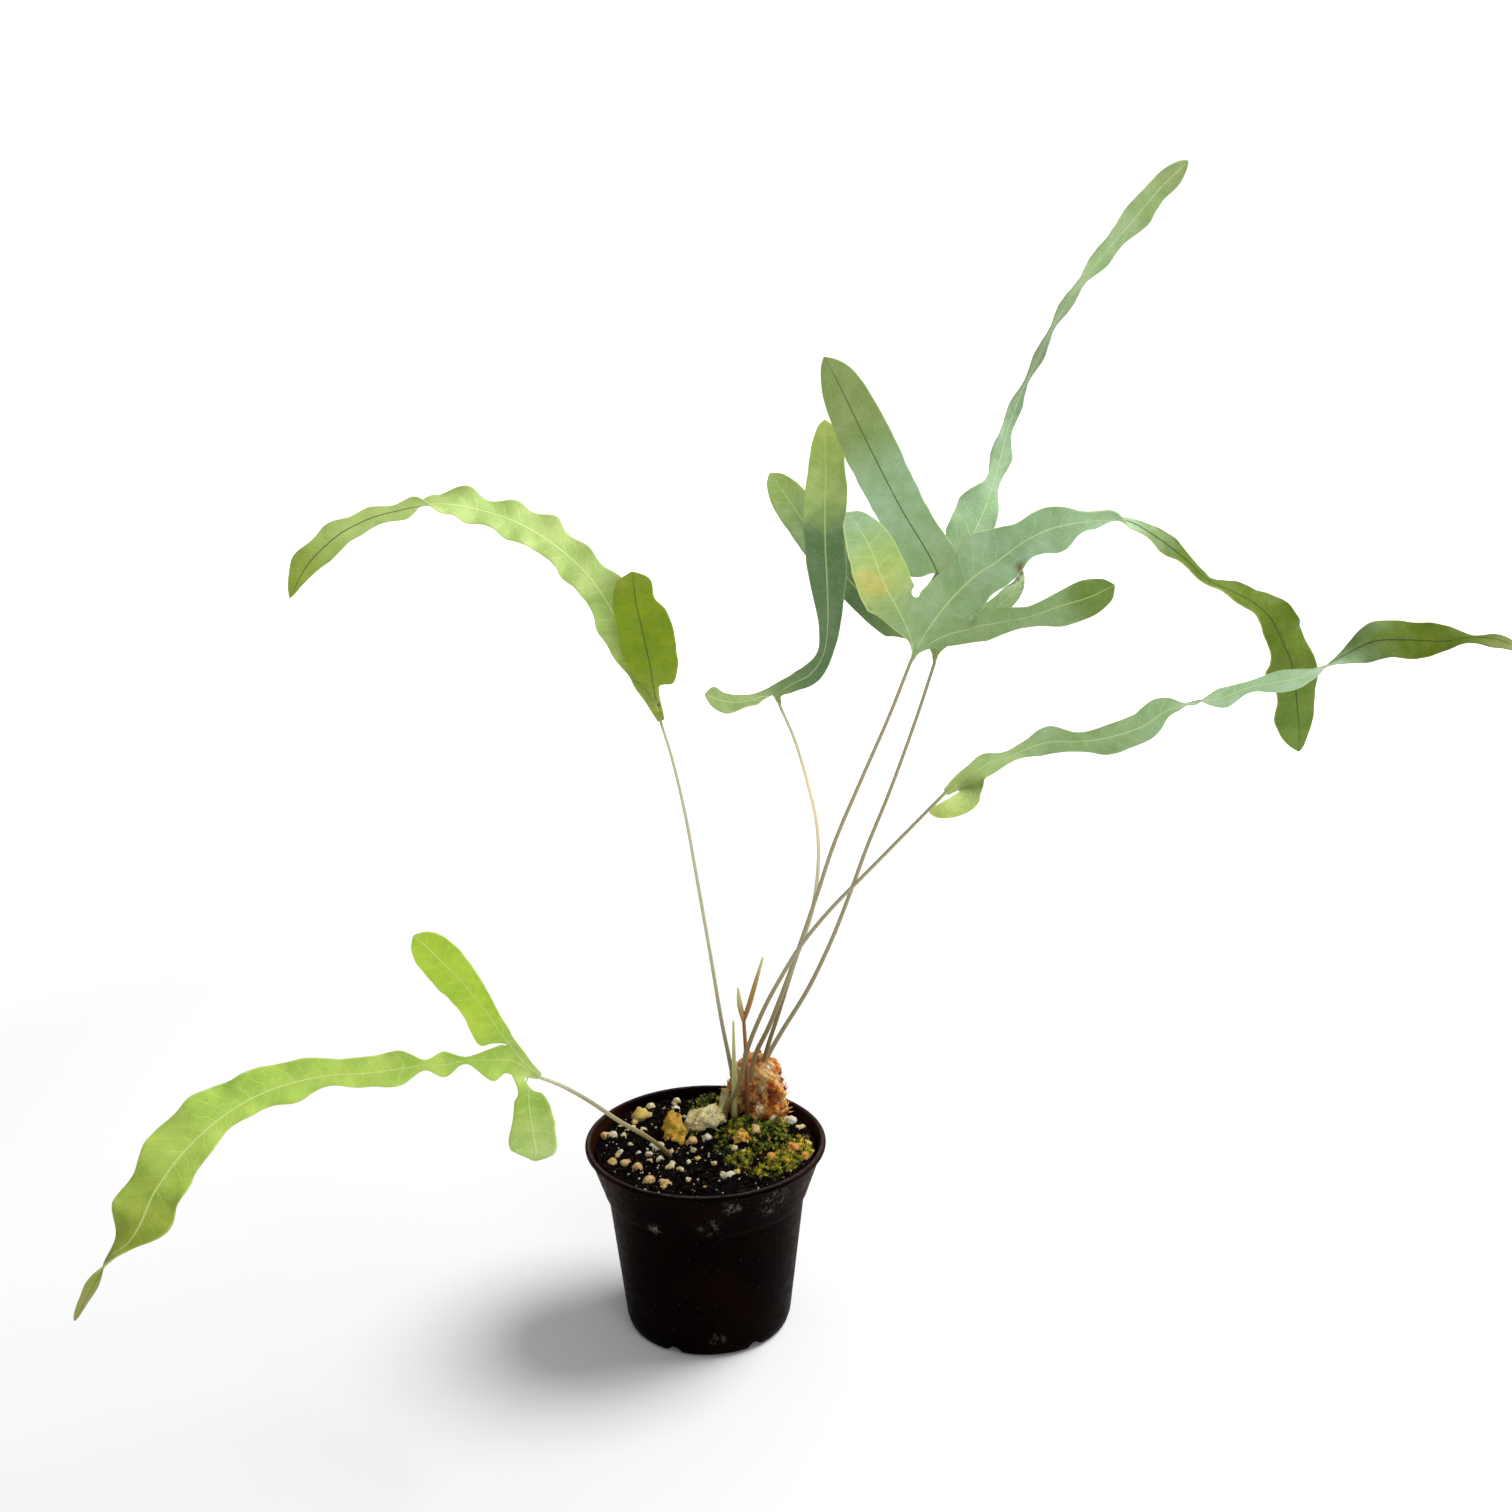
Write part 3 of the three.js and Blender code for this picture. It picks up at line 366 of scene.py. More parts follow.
# pot
pot = {
    "height": 75, "lip": 45, "lipDrop": 2.8, "collarFoot": 57, "collarRadius": 38.6,
    "ledge": 55, "bodyTop": 37, "bodyFoot": 31, "wall": 1.3, "floorTop": 3.2,
    "slots": 6, "slotTurn": -56, "slotRadius": 3.4, "steps": 144, "rounding": 0.3,
}


def outerRadius(z):
    if z < pot["ledge"]:
        return pot["bodyFoot"] + (pot["bodyTop"] - pot["bodyFoot"]) * z / pot["ledge"]
    rise = (z - pot["collarFoot"]) / (pot["height"] - pot["lipDrop"] - pot["collarFoot"])
    return pot["collarRadius"] + (pot["lip"] - 1.3 - pot["collarRadius"]) * rise


def innerRadius(z):
    return outerRadius(z) - pot["wall"]


plastic, tree, shader = newMaterial("potPlastic", IOR=1.45)
shader.inputs["Specular IOR Level"].default_value = 0.014
shader.inputs["Specular Tint"].default_value = (1.0, 0.55, 0.4, 1)
place = objectPlace(tree)
uneven = useGroup(tree, mottle, Place=place, Size=0.02)
grit = useGroup(tree, mottle, Place=place, Size=0.004)
marks = {  # dried mineral marks: where, how far they reach, how strong
    "collar": ((0.0245, -0.0345, 0.0665), 0.0085, 0.55),
    "lip": ((0.0095, -0.0420, 0.0690), 0.0055, 0.4),
    "right": ((0.0385, -0.0205, 0.0665), 0.0060, 0.4),
    "ledge": ((0.001, -0.0385, 0.0600), 0.0060, 0.25),
    "left": ((-0.0195, -0.0335, 0.0560), 0.0045, 0.35),
    "foot": ((0.0035, -0.0312, 0.0080), 0.0045, 0.4),
}
dirt = 0.0
scuff = noiseAt(tree, place, 420, 5.0, 0.7)
for spot, reach, share in marks.values():
    gap = addNode(tree, "VectorMath", {0: place, 1: spot}, operation="DISTANCE").outputs["Value"]
    near = fade(tree, gap, reach, reach * 0.2, 0.0, share)
    dirt = maths(tree, "MAXIMUM", dirt, near)
drips = addNode(tree, "Mapping", {"Vector": place, "Scale": (1.0, 1.0, 0.35)}).outputs[0]
crust = maths(tree, "MULTIPLY_ADD", scuff, 0.6, noiseAt(tree, drips, 700, 6.0, 0.75))
dirt = maths(tree, "MULTIPLY", dirt, fade(tree, crust, 0.78, 1.02))
sides = addNode(tree, "SeparateXYZ", {0: place}).outputs
dusty = maths(tree, "MULTIPLY", grit["Specks"], fade(tree, uneven["Fine"], 0.45, 0.8, 0.0, 0.55))
# painted highlight: a thin lighter line along the very top of the lip, broken up by scuff noise
paintedLipHighlight = maths(tree, "MULTIPLY", fade(tree, sides[2], 0.0744, 0.0751),
                fade(tree, scuff, 0.3, 0.7, 0.25, 1.0))
base = blend(tree, uneven["Broad"], (0.0012, 0.0003, 0.0002, 1), (0.0034, 0.0011, 0.0007, 1))
paintedSideReflection = fade(tree, maths(tree, "ABSOLUTE", sides[0]), 0.026, 0.042, 0.0, 0.55)
base = blend(tree, paintedSideReflection, base, (0.034, 0.012, 0.005, 1))  # painted reflection: a browner tone at its left and right, for the surroundings reflected in its sides
base = blend(tree, maths(tree, "MULTIPLY", paintedLipHighlight, 0.8), base, (0.085, 0.070, 0.072, 1))
base = blend(tree, dusty, base, (0.22, 0.19, 0.16, 1))
base = blend(tree, dirt, base, (0.34, 0.31, 0.27, 1))
rough = maths(tree, "MULTIPLY_ADD", dirt, 0.3, fade(tree, uneven["Fine"], 0.0, 1.0, 0.4, 0.55))
feed(tree, shader, Base_Color=base, Roughness=rough)
ripple = maths(tree, "MULTIPLY_ADD", uneven["Broad"], 0.3, maths(tree, "MULTIPLY", scuff, 0.04))
bumped(tree, shader, ripple, 0.00016)

lipFoot = pot["height"] - pot["lipDrop"]
potProfile = [
    (0, 0), (11, 0), (12.5, 1.4), (24.5, 1.4), (25.6, 0), (27.8, 0), (30.4, 1.4), (31.3, 4.4),
    (outerRadius(54), 54), (38.3, 55.8), (38.6, 57), (outerRadius(lipFoot), lipFoot),
    (44.5, 72.5), (45, 73.2), (45, 74.2), (44, 75), (42.9, 74.5), (innerRadius(lipFoot), lipFoot),
    (innerRadius(57.6), 57.6), (innerRadius(57) - 1.2, 56.4), (innerRadius(54), 53.4),
    (innerRadius(6), 6), (innerRadius(6) - 2.2, pot["floorTop"]), (0, pot["floorTop"]),
]
bm = bmesh.new()
ring = [bm.verts.new((r, 0, z)) for r, z in potProfile]
wire = [bm.edges.new(pair) for pair in zip(ring, ring[1:])]
bmesh.ops.spin(bm, geom=ring + wire, cent=(0, 0, 0), axis=(0, 0, 1), angle=2 * math.pi,
               steps=pot["steps"], use_merge=True)
closeUp(bm)
creases = [e for e in bm.edges if len(e.link_faces) == 2 and e.calc_face_angle() > 0.14]
bmesh.ops.bevel(bm, geom=creases, offset=pot["rounding"], offset_type="OFFSET", segments=3,
                profile=0.5, affect="EDGES", material=-1, clamp_overlap=True)
bmesh.ops.scale(bm, vec=(mm, mm, mm), verts=bm.verts)
potMesh = bpy.data.meshes.new("uncutPot")
bm.to_mesh(potMesh)
bm.free()
uncut = bpy.data.objects.new("uncutPot", potMesh)
bpy.context.scene.collection.objects.link(uncut)

bm = bmesh.new()
for i in range(pot["slots"]):
    turn = Matrix.Rotation(math.radians(pot["slotTurn"] + 360 / pot["slots"] * i), 4, "Z")
    out = Matrix.Translation((pot["bodyFoot"], 0, 0.4)) @ Matrix.Rotation(math.pi / 2, 4, "Y")
    bmesh.ops.create_cone(bm, cap_ends=True, segments=28, radius1=pot["slotRadius"],
                          radius2=pot["slotRadius"], depth=12, matrix=turn @ out)
bmesh.ops.scale(bm, vec=(mm, mm, mm), verts=bm.verts)
slotMesh = bpy.data.meshes.new("slotCutter")
bm.to_mesh(slotMesh)
bm.free()
cutter = bpy.data.objects.new("slotCutter", slotMesh)
bpy.context.scene.collection.objects.link(cutter)
cut = uncut.modifiers.new("slots", "BOOLEAN")
cut.operation = "DIFFERENCE"
cut.solver = "EXACT"
cut.object = cutter
ready = uncut.evaluated_get(bpy.context.evaluated_depsgraph_get())
bm = bmesh.new()
bm.from_mesh(ready.to_mesh())
bmesh.ops.scale(bm, vec=(1 / mm, 1 / mm, 1 / mm), verts=bm.verts)
ready.to_mesh_clear()
bpy.data.objects.remove(cutter)
bpy.data.objects.remove(uncut)
potPiece = addPiece("pot_moulded", bm, [plastic], ["pot"])
potPiece.data.set_sharp_from_angle(angle=math.radians(35))
print("pot made")

# potting mix, with moss and grains on it
mix = {
    "level": 71.3, "radius": 41, "rings": 110, "spokes": 260, "seed": 4127,
    "crumbs": 2600, "chips": 150, "fibres": 60, "specks": 620, "sprigs": 2300,
    "crumbReach": 40.3, "chipReach": 38.5, "fibreReach": 36, "speckReach": 40, "mossReach": 40.4,
}
mossCushions = [  # x, y, radius, height, and how golden it is
    (15, 14, 6.5, 2.6, 0.1), (26, 12, 5.5, 2.4, 0.15), (2, 35, 5, 2, 0.05),
    (28, -15, 6.5, 2.2, 0.5), (34, -6, 5.5, 2.6, 0.75), (12, -12, 5, 1.2, 0.2),
]
mossPatches = [  # thin moss between the cushions
    (20, 6, 7, 0.15), (8, 8, 5, 0.1), (21, -4, 6, 0.25), (6, -4, 3.5, 0.2), (22, -22, 4.5, 0.45),
    (37, 3, 3, 0.5), (-6, 10, 3, 0.1), (-3, 32, 4, 0.1), (17, -20, 4, 0.3), (31, 3, 5, 0.2),
]
grains = [  # x, y, radius of the larger grains
    (-37.5, 9, 1.8), (-35, 9.5, 1.5), (-32.5, 15.8, 1.3), (-31, 11, 1.3), (-32, -3.3, 1.5),
    (-33, -6.4, 1.2), (-25.4, 24.4, 3.2), (-21, 32, 1.5), (-24, 30, 1.3), (-22, 27, 1.5),
    (-11, 36, 1.5), (-11.2, 31, 1.5), (-27.5, 15.5, 1.3), (-23.7, 13.7, 1.3), (-18, 0, 2.4),
    (-5, 3.5, 1.9), (-24.9, -4.5, 1.3), (-21.2, -5.5, 1.3), (-21, -10, 1.3), (-17, -9.6, 1.3),
    (-12.6, -14.4, 1.9), (-9.6, -17.6, 1.2), (-6.5, -11.6, 1), (-4.5, -4.8, 1.2),
    (-3, -9.5, 1.2), (-34.4, -10.9, 1.7), (-30, -12.7, 1.7), (-25, -16, 1.7), (-21, -25, 1.9),
    (-15.4, -27, 2.1), (-6.3, -25.3, 1.3), (0.6, 6, 2.1), (19, 10, 1.7), (10.5, -4.2, 1.2),
    (13.9, -4.8, 1.2), (7.9, -23, 2.4), (11.2, -21.8, 1.5), (32.5, 17, 2.2), (36.5, 13, 1.7),
    (35, 20, 1.2), (38.6, -2, 1.2), (8, 36, 1.7), (33, -8, 1.9), (36.5, -9.5, 1.6), (24, -14, 1.7),
    (29.5, -11.5, 1.3), (-28, 2, 1.2), (-13, -2, 1), (3, -14, 1), (-27, 20.5, 1.2), (-8, 22, 1),
]
grainTints = {
    "cream": (252, 240, 190), "white": (255, 250, 236), "buff": (246, 212, 150),
    "yellow": (246, 222, 120), "orange": (244, 178, 88),
}


def groundHeight(x, y):
    z = mix["level"]
    z += 0.7 * math.sin(0.42 * x + 1.3) * math.sin(0.5 * y + 0.4)
    z += 0.45 * math.sin(0.95 * x - 0.6 * y + 2.1)
    z += 0.3 * math.sin(1.5 * y + 0.8 * x)
    for cx, cy, r, h, golden in mossCushions:
        d = math.hypot(x - cx, y - cy) / r
        if d < 1:
            z += h * (1 - d * d) * (1 + 0.15 * math.sin(2.1 * x + 1.7 * y))
    return z


def crumbly(x, y):
    rough = noise.noise(Vector((x * 0.9, y * 0.9, 3.1))) * 0.55
    return rough + noise.noise(Vector((x * 2.3, y * 2.3, 7.7))) * 0.35


earth, tree, shader, place, crumb, tint = tintedMaterial("earth", 0.003)
base = blend(tree, crumb["Fine"], (0.15, 0.15, 0.15, 1), (0.75, 0.68, 0.65, 1))
feed(tree, shader, Base_Color=multiplied(tree, tint, base),
     Roughness=fade(tree, crumb["Broad"], 0.0, 1.0, 0.55, 0.95))
shader.inputs["Specular IOR Level"].default_value = 0.06
bumped(tree, shader, crumb["Fine"], 0.0004)

stone, tree, shader, place, pits, tint = tintedMaterial("grain", 0.0022)
base = blend(tree, pits["Broad"], (0.84, 0.74, 0.52, 1), (1.08, 1.05, 1.0, 1))
base = multiplied(tree, tint, base)
base = blend(tree, maths(tree, "MULTIPLY", pits["Specks"], 0.7), base, (0.10, 0.05, 0.02, 1))
feed(tree, shader, Base_Color=base, Roughness=fade(tree, pits["Fine"], 0.0, 1.0, 0.6, 0.9))
bumped(tree, shader, pits["Fine"], 0.0004)

mossy, tree, shader, place, patchy, tint = tintedMaterial("moss", 0.004)
base = blend(tree, patchy["Broad"], (0.6, 0.65, 0.6, 1), (1.15, 1.15, 1.0, 1))
feed(tree, shader, Base_Color=multiplied(tree, tint, base),
     Roughness=fade(tree, patchy["Fine"], 0.0, 1.0, 0.5, 0.75))

# the body of the mix: its top is crumbly, its side follows the pot's inner wall
topRings = mix["rings"]
sideRows = [
    (innerRadius(58.2) - 0.4, 58.2), (innerRadius(57) - 1.6, 57), (innerRadius(53) - 0.4, 53),
    (innerRadius(6.2) - 0.4, 6.2), (innerRadius(6.2) - 2.6, 3.6), (0, 3.6),
]
bm = bmesh.new()
earthTint = bm.verts.layers.float_color.new("tint")
lines = sheetGrid(bm, topRings + len(sideRows), mix["spokes"])
for i, line in enumerate(lines):
    for j, vert in enumerate(line):
        a = 2 * math.pi * j / mix["spokes"]
        if i <= topRings:
            r = mix["radius"] * i / topRings
            x, y = r * math.cos(a), r * math.sin(a)
            z = groundHeight(x, y) + crumbly(x, y) * smooth((mix["radius"] - r) / 2)
        else:
            r, z = sideRows[i - topRings - 1]
            x, y = r * math.cos(a), r * math.sin(a)
        vert.co = (x, y, z)
        vert[earthTint] = linear((34, 19, 15)) if i > topRings else linear((22, 11, 9))
closeUp(bm)
addPiece("mix_body", bm, [earth], ["potting_mix"])

# crumbs and bark chips
draw = random.Random(mix["seed"])
templates = []
for i in range(5):
    bm = bmesh.new()
    bmesh.ops.create_icosphere(bm, subdivisions=1, radius=1)
    for vert in bm.verts:
        vert.co *= 1 + 0.45 * noise.noise(vert.co * 1.7 + Vector((i * 5, 0, 0)))
    templates.append(templateFrom(bm))


def restingPlace(limit):
    a, r = draw.random() * 2 * math.pi, limit * math.sqrt(draw.random())
    return r * math.cos(a), r * math.sin(a)


def tumbled(x, y, z, size, stretch=(1, 1, 1)):
    turn = draw.random() * anyTurn
    axis = Vector((draw.random(), draw.random(), draw.random() + 0.1))
    grow = Matrix.Diagonal((*[size * s for s in stretch], 1))
    return Matrix.Translation((x, y, z)) @ Matrix.Rotation(turn, 4, axis) @ grow


crumbTints = [(18, 8, 7), (30, 17, 13), (46, 27, 18), (24, 12, 10), (70, 44, 28), (14, 7, 7)]
places = []
for i in range(mix["crumbs"]):
    x, y = restingPlace(mix["crumbReach"])
    size = 0.25 + 0.75 * draw.random() ** 2.5
    tint = linear(draw.choices(crumbTints, (5, 4, 2, 4, 1, 4))[0])
    places.append((i, tumbled(x, y, groundHeight(x, y) + crumbly(x, y) + size * 0.3, size), tint))
for i in range(mix["chips"]):
    x, y = restingPlace(mix["chipReach"])
    size = 0.7 + 0.8 * draw.random()
    tint = linear(draw.choice(crumbTints))
    stretch = (1.9, 0.8, 0.35)
    matrix = tumbled(x, y, groundHeight(x, y) + crumbly(x, y) + 0.35, size, stretch)
    places.append((i, matrix, tint))
addPiece("mix_crumbs", scattered(templates, places), [earth])

# thin roots and fibres on the mix
fibreTints = [(96, 62, 40), (60, 38, 26), (140, 104, 70), (40, 26, 20)]
bm = bmesh.new()
fibreTint = bm.verts.layers.float_color.new("tint")
for i in range(mix["fibres"]):
    x, y = restingPlace(mix["fibreReach"])
    heading = draw.random() * anyTurn
    color = linear(draw.choice(fibreTints))
    path = []
    for k in range(9):
        heading += draw.uniform(-0.5, 0.5)
        x, y = x + 1.1 * math.cos(heading), y + 1.1 * math.sin(heading)
        if math.hypot(x, y) > 40:
            break
        lift = 0.35 + 0.5 * math.sin(k * 0.7 + i)
        path.append((x, y, groundHeight(x, y) + crumbly(x, y) + lift, 0.13 - 0.008 * k))
    if len(path) > 3:
        for line in addStem(bm, path, 4):
            for vert in line:
                vert[fibreTint] = color
closeUp(bm)
addPiece("mix_fibres", bm, [earth])

# grains: lumpy, rounded, pressed a little into the mix
def lumpTemplates(fineness):
    lumps = []
    for i in range(6):
        bm = bmesh.new()
        bmesh.ops.create_icosphere(bm, subdivisions=fineness, radius=1)
        for vert in bm.verts:
            swell = noise.noise(vert.co * 1.2 + Vector((i * 3.7, 1, 0)))
            vert.co *= 1 + 0.38 * swell + 0.05 * noise.noise(vert.co * 3.5 + Vector((0, i, 0)))
        lumps.append(templateFrom(bm))
    return lumps


templates = lumpTemplates(3)
places = []
for i, (x, y, r) in enumerate(grains):
    pull = min(1, (mix["radius"] - 1.3 * r) / math.hypot(x, y))
    x, y = x * pull, y * pull
    name = draw.choices(["cream", "white", "buff", "yellow"], (4, 3, 2, 1))[0]
    if y < -10 and x < -13:
        name = "buff"
    elif x > 23 and y < -7:
        name = "orange"
    elif r > 3:
        name = "yellow"
    stretch = (0.85 + 0.4 * draw.random(), 0.85 + 0.3 * draw.random(), 0.85)
    matrix = tumbled(x, y, groundHeight(x, y) + r * 0.3, r, stretch)
    places.append((i, matrix, linear(grainTints[name])))
    if r > 1.4:
        for k in range(2):  # smaller lumps grown against the larger ones
            a = draw.random() * anyTurn
            near = (x + r * 0.8 * math.cos(a), y + r * 0.8 * math.sin(a))
            if math.hypot(*near) < 39:
                z = groundHeight(*near) + r * 0.25
                places.append((k, tumbled(*near, z, r * 0.55), linear(grainTints[name])))
addPiece("mix_grains", scattered(templates, places), [stone])

bm = bmesh.new()
bmesh.ops.create_icosphere(bm, subdivisions=1, radius=1)
templates = [templateFrom(bm)]
places = []
for i in range(mix["specks"]):
    x, y = restingPlace(mix["speckReach"])
    size = 0.13 + 0.5 * draw.random() ** 3
    name = draw.choice(["cream", "white", "white", "buff"])
    z = groundHeight(x, y) + crumbly(x, y) + size * 0.6
    places.append((0, tumbled(x, y, z, size), linear(grainTints[name], 0.9)))
addPiece("mix_specks", scattered(templates, places), [stone])

# moss: sprigs of small pointed leaves, dense on the cushions and thin between them
templates = []
for i in range(4):
    bm = bmesh.new()
    for k in range(10):
        length = 0.7 + 0.5 * draw.random()
        lean = Matrix.Rotation(0.35 + 0.9 * draw.random(), 4, "Y")
        turn = Matrix.Rotation(k * 2.4 + draw.random(), 4, "Z")
        lift = Matrix.Translation((0, 0, 0.09 * k))
        flat = Matrix.Diagonal((0.3, 1, 1, 1)) @ Matrix.Translation((0, 0, length / 2))
        matrix = lift @ turn @ lean @ flat
        bmesh.ops.create_cone(bm, cap_ends=True, segments=3, radius1=0.2, radius2=0.02,
                              depth=length, matrix=matrix)
    templates.append(templateFrom(bm))
mossTints = [
    (62, 84, 10), (92, 108, 18), (44, 64, 8), (150, 158, 44), (80, 100, 12), (52, 76, 10),
]
goldTints = [
    (190, 182, 40), (222, 190, 60), (160, 168, 40), (236, 206, 84), (214, 160, 60), (120, 136, 24),
]
places = []
grounds = [(cx, cy, r, golden, 4.0) for cx, cy, r, h, golden in mossCushions]
grounds += [(cx, cy, r, golden, 1.0) for cx, cy, r, golden in mossPatches]
area = sum(r * r * weight for cx, cy, r, golden, weight in grounds)
for cx, cy, r, golden, weight in grounds:
    for i in range(int(mix["sprigs"] * r * r * weight / area)):
        a, d = draw.random() * anyTurn, r * math.sqrt(draw.random()) * 1.05
        x, y = cx + d * math.cos(a), cy + d * math.sin(a)
        if math.hypot(x, y) > mix["mossReach"]:
            continue
        z = groundHeight(x, y) + crumbly(x, y) - 0.1
        patch = golden + 0.08 + 0.6 * noise.noise(Vector((x * 0.35, y * 0.35, 2)))
        shade = 0.8 + 0.9 * draw.random() + max(0, patch) * 0.6
        tints = goldTints if draw.random() < patch else mossTints
        lean = Matrix.Rotation(draw.uniform(-0.5, 0.5), 4, "X")
        lean = lean @ Matrix.Rotation(draw.random() * anyTurn, 4, "Z")
        size = 0.75 + 0.5 * draw.random()
        matrix = Matrix.Translation((x, y, z)) @ lean @ Matrix.Scale(size, 4)
        places.append((i, matrix, linear(draw.choice(tints), shade)))
addPiece("moss", scattered(templates, places), [mossy])
print("mix, grains and moss made")

# rhizomes: creeping stems under scales and golden hairs
rhizomes = {
    "rhizome_main": [
        {"points": [(13.5, 30, 63), (14.5, 30.5, 76), (18, 30, 86), (22, 29, 87), (25.5, 27, 80),
                    (26.5, 24, 71), (26.5, 22, 63)],
         "radii": [3, 5.2, 6.2, 6, 5.6, 4.4, 2.5], "bump": 0.13,
         "tints": [(206, 104, 34), (255, 222, 144)]},
        {"points": [(24, 24, 70), (26.5, 22.5, 75), (27, 22, 79)],
         "radii": [3, 3.6, 1.6], "bump": 0.08,
         "tints": [(232, 150, 56), (246, 190, 90)]},
        {"points": [(20, 28, 70), (21, 22.5, 74), (21, 20.5, 77)],
         "radii": [3, 3, 1.4], "bump": 0.08,
         "tints": [(244, 214, 150), (252, 238, 190)]},
    ],
    "rhizome_pale": [
        {"points": [(-7, 14.5, 69.5), (-4, 15.5, 73), (0.5, 17, 74.5), (4, 19, 73.5),
                    (5.5, 21, 70)],
         "radii": [1.8, 4, 4.6, 3.8, 1.6], "bump": 0.1,
         "tints": [(255, 244, 176), (255, 252, 208)]},
        {"points": [(4.5, 20, 72), (7, 22.5, 77), (8, 24, 83)],
         "radii": [1.8, 1.7, 1.5], "bump": 0.02,
         "tints": [(200, 202, 140), (214, 216, 160)]},
    ],
    "rhizome_bud_left": [
        {"points": [(-11.5, 6, 66), (-11.5, 7, 72), (-12, 8.5, 78), (-13, 9.5, 81.5)],
         "radii": [3, 4.2, 3.2, 1], "bump": 0.12,
         "tints": [(226, 214, 66), (255, 196, 74)]},
    ],
    "rhizome_bud_front": [
        {"points": [(13.5, 4.5, 67), (13.7, 4, 71.5), (13.5, 3, 75.5)],
         "radii": [2.2, 3.2, 1.2], "bump": 0.1,
         "tints": [(255, 222, 96), (250, 184, 76)]},
    ],
}
scaling = {  # how many scales and nodules a piece has, how long the scales are, and their tints
    "rhizome_main": {
        "slot": "rhizome_brown", "scales": 2300, "nodules": 130, "reach": (0.8, 4.2), "lump": 1,
        "tints": [(110, 50, 20), (176, 88, 30), (232, 132, 48), (250, 170, 72), (252, 208, 130),
                  (255, 236, 180), (255, 250, 222)],
    },
    "rhizome_pale": {
        "slot": "rhizome_pale", "scales": 300, "nodules": 26, "reach": (0.4, 0.9), "lump": 0.5,
        "tints": [(252, 244, 190), (246, 224, 140), (240, 190, 100), (255, 250, 216)],
    },
    "rhizome_bud_left": {
        "slot": "rhizome_bud", "scales": 420, "nodules": 14, "reach": (0.4, 1.1), "lump": 0.5,
        "tints": [(248, 196, 84), (236, 164, 54), (206, 200, 60), (252, 226, 130)],
    },
    "rhizome_bud_front": {
        "slot": "rhizome_bud", "scales": 240, "nodules": 14, "reach": (0.4, 1.0), "lump": 0.5,
        "tints": [(246, 204, 100), (226, 150, 60), (252, 226, 140)],
    },
}


def aboveGround(face):
    x, y, z = face.calc_center_median()
    return z > groundHeight(x, y) - 1


bark, tree, shader, place, scaly, tint = tintedMaterial("rhizomeBark", 0.004)
cells = addNode(tree, "TexVoronoi", {"Vector": place, "Scale": 1250}, feature="DISTANCE_TO_EDGE")
seam = fade(tree, cells.outputs["Distance"], 0.0, 0.12)
seam = maths(tree, "MAXIMUM", seam, fade(tree, noiseAt(tree, place, 500, 4.0, 0.7), 0.42, 0.56))
base = blend(tree, scaly["Broad"], (0.8, 0.66, 0.5, 1), (1.12, 1.1, 1.05, 1))
base = multiplied(tree, tint, base)
crack = multiplied(tree, tint, (0.42, 0.28, 0.14, 1))
feed(tree, shader, Base_Color=blend(tree, seam, crack, base),
     Roughness=fade(tree, scaly["Fine"], 0.0, 1.0, 0.6, 0.9))
bumped(tree, shader, maths(tree, "ADD", maths(tree, "MULTIPLY", seam, 0.6), scaly["Fine"]), 0.0004)

hairy, tree, shader, place, silky, tint = tintedMaterial("rhizomeScale", 0.002)
base = blend(tree, silky["Broad"], (0.75, 0.7, 0.65, 1), (1.1, 1.1, 1.1, 1))
feed(tree, shader, Base_Color=multiplied(tree, tint, base),
     Roughness=fade(tree, silky["Fine"], 0.0, 1.0, 0.4, 0.65))

scaleTemplates = []
for i in range(4):  # a scale is a flat, pointed, bent blade
    bm = bmesh.new()
    bmesh.ops.create_cone(bm, cap_ends=True, segments=4, radius1=0.16, radius2=0.01, depth=1,
                          matrix=Matrix.Translation((0, 0, 0.5)))
    bmesh.ops.scale(bm, vec=(1, 0.3, 1), verts=bm.verts)
    bmesh.ops.bisect_plane(bm, geom=bm.verts[:] + bm.edges[:] + bm.faces[:], plane_co=(0, 0, 0.4),
                           plane_no=(0, 0, 1))
    for vert in bm.verts:
        vert.co.y += (0.12 + 0.1 * i) * vert.co.z ** 2
    scaleTemplates.append(bm)

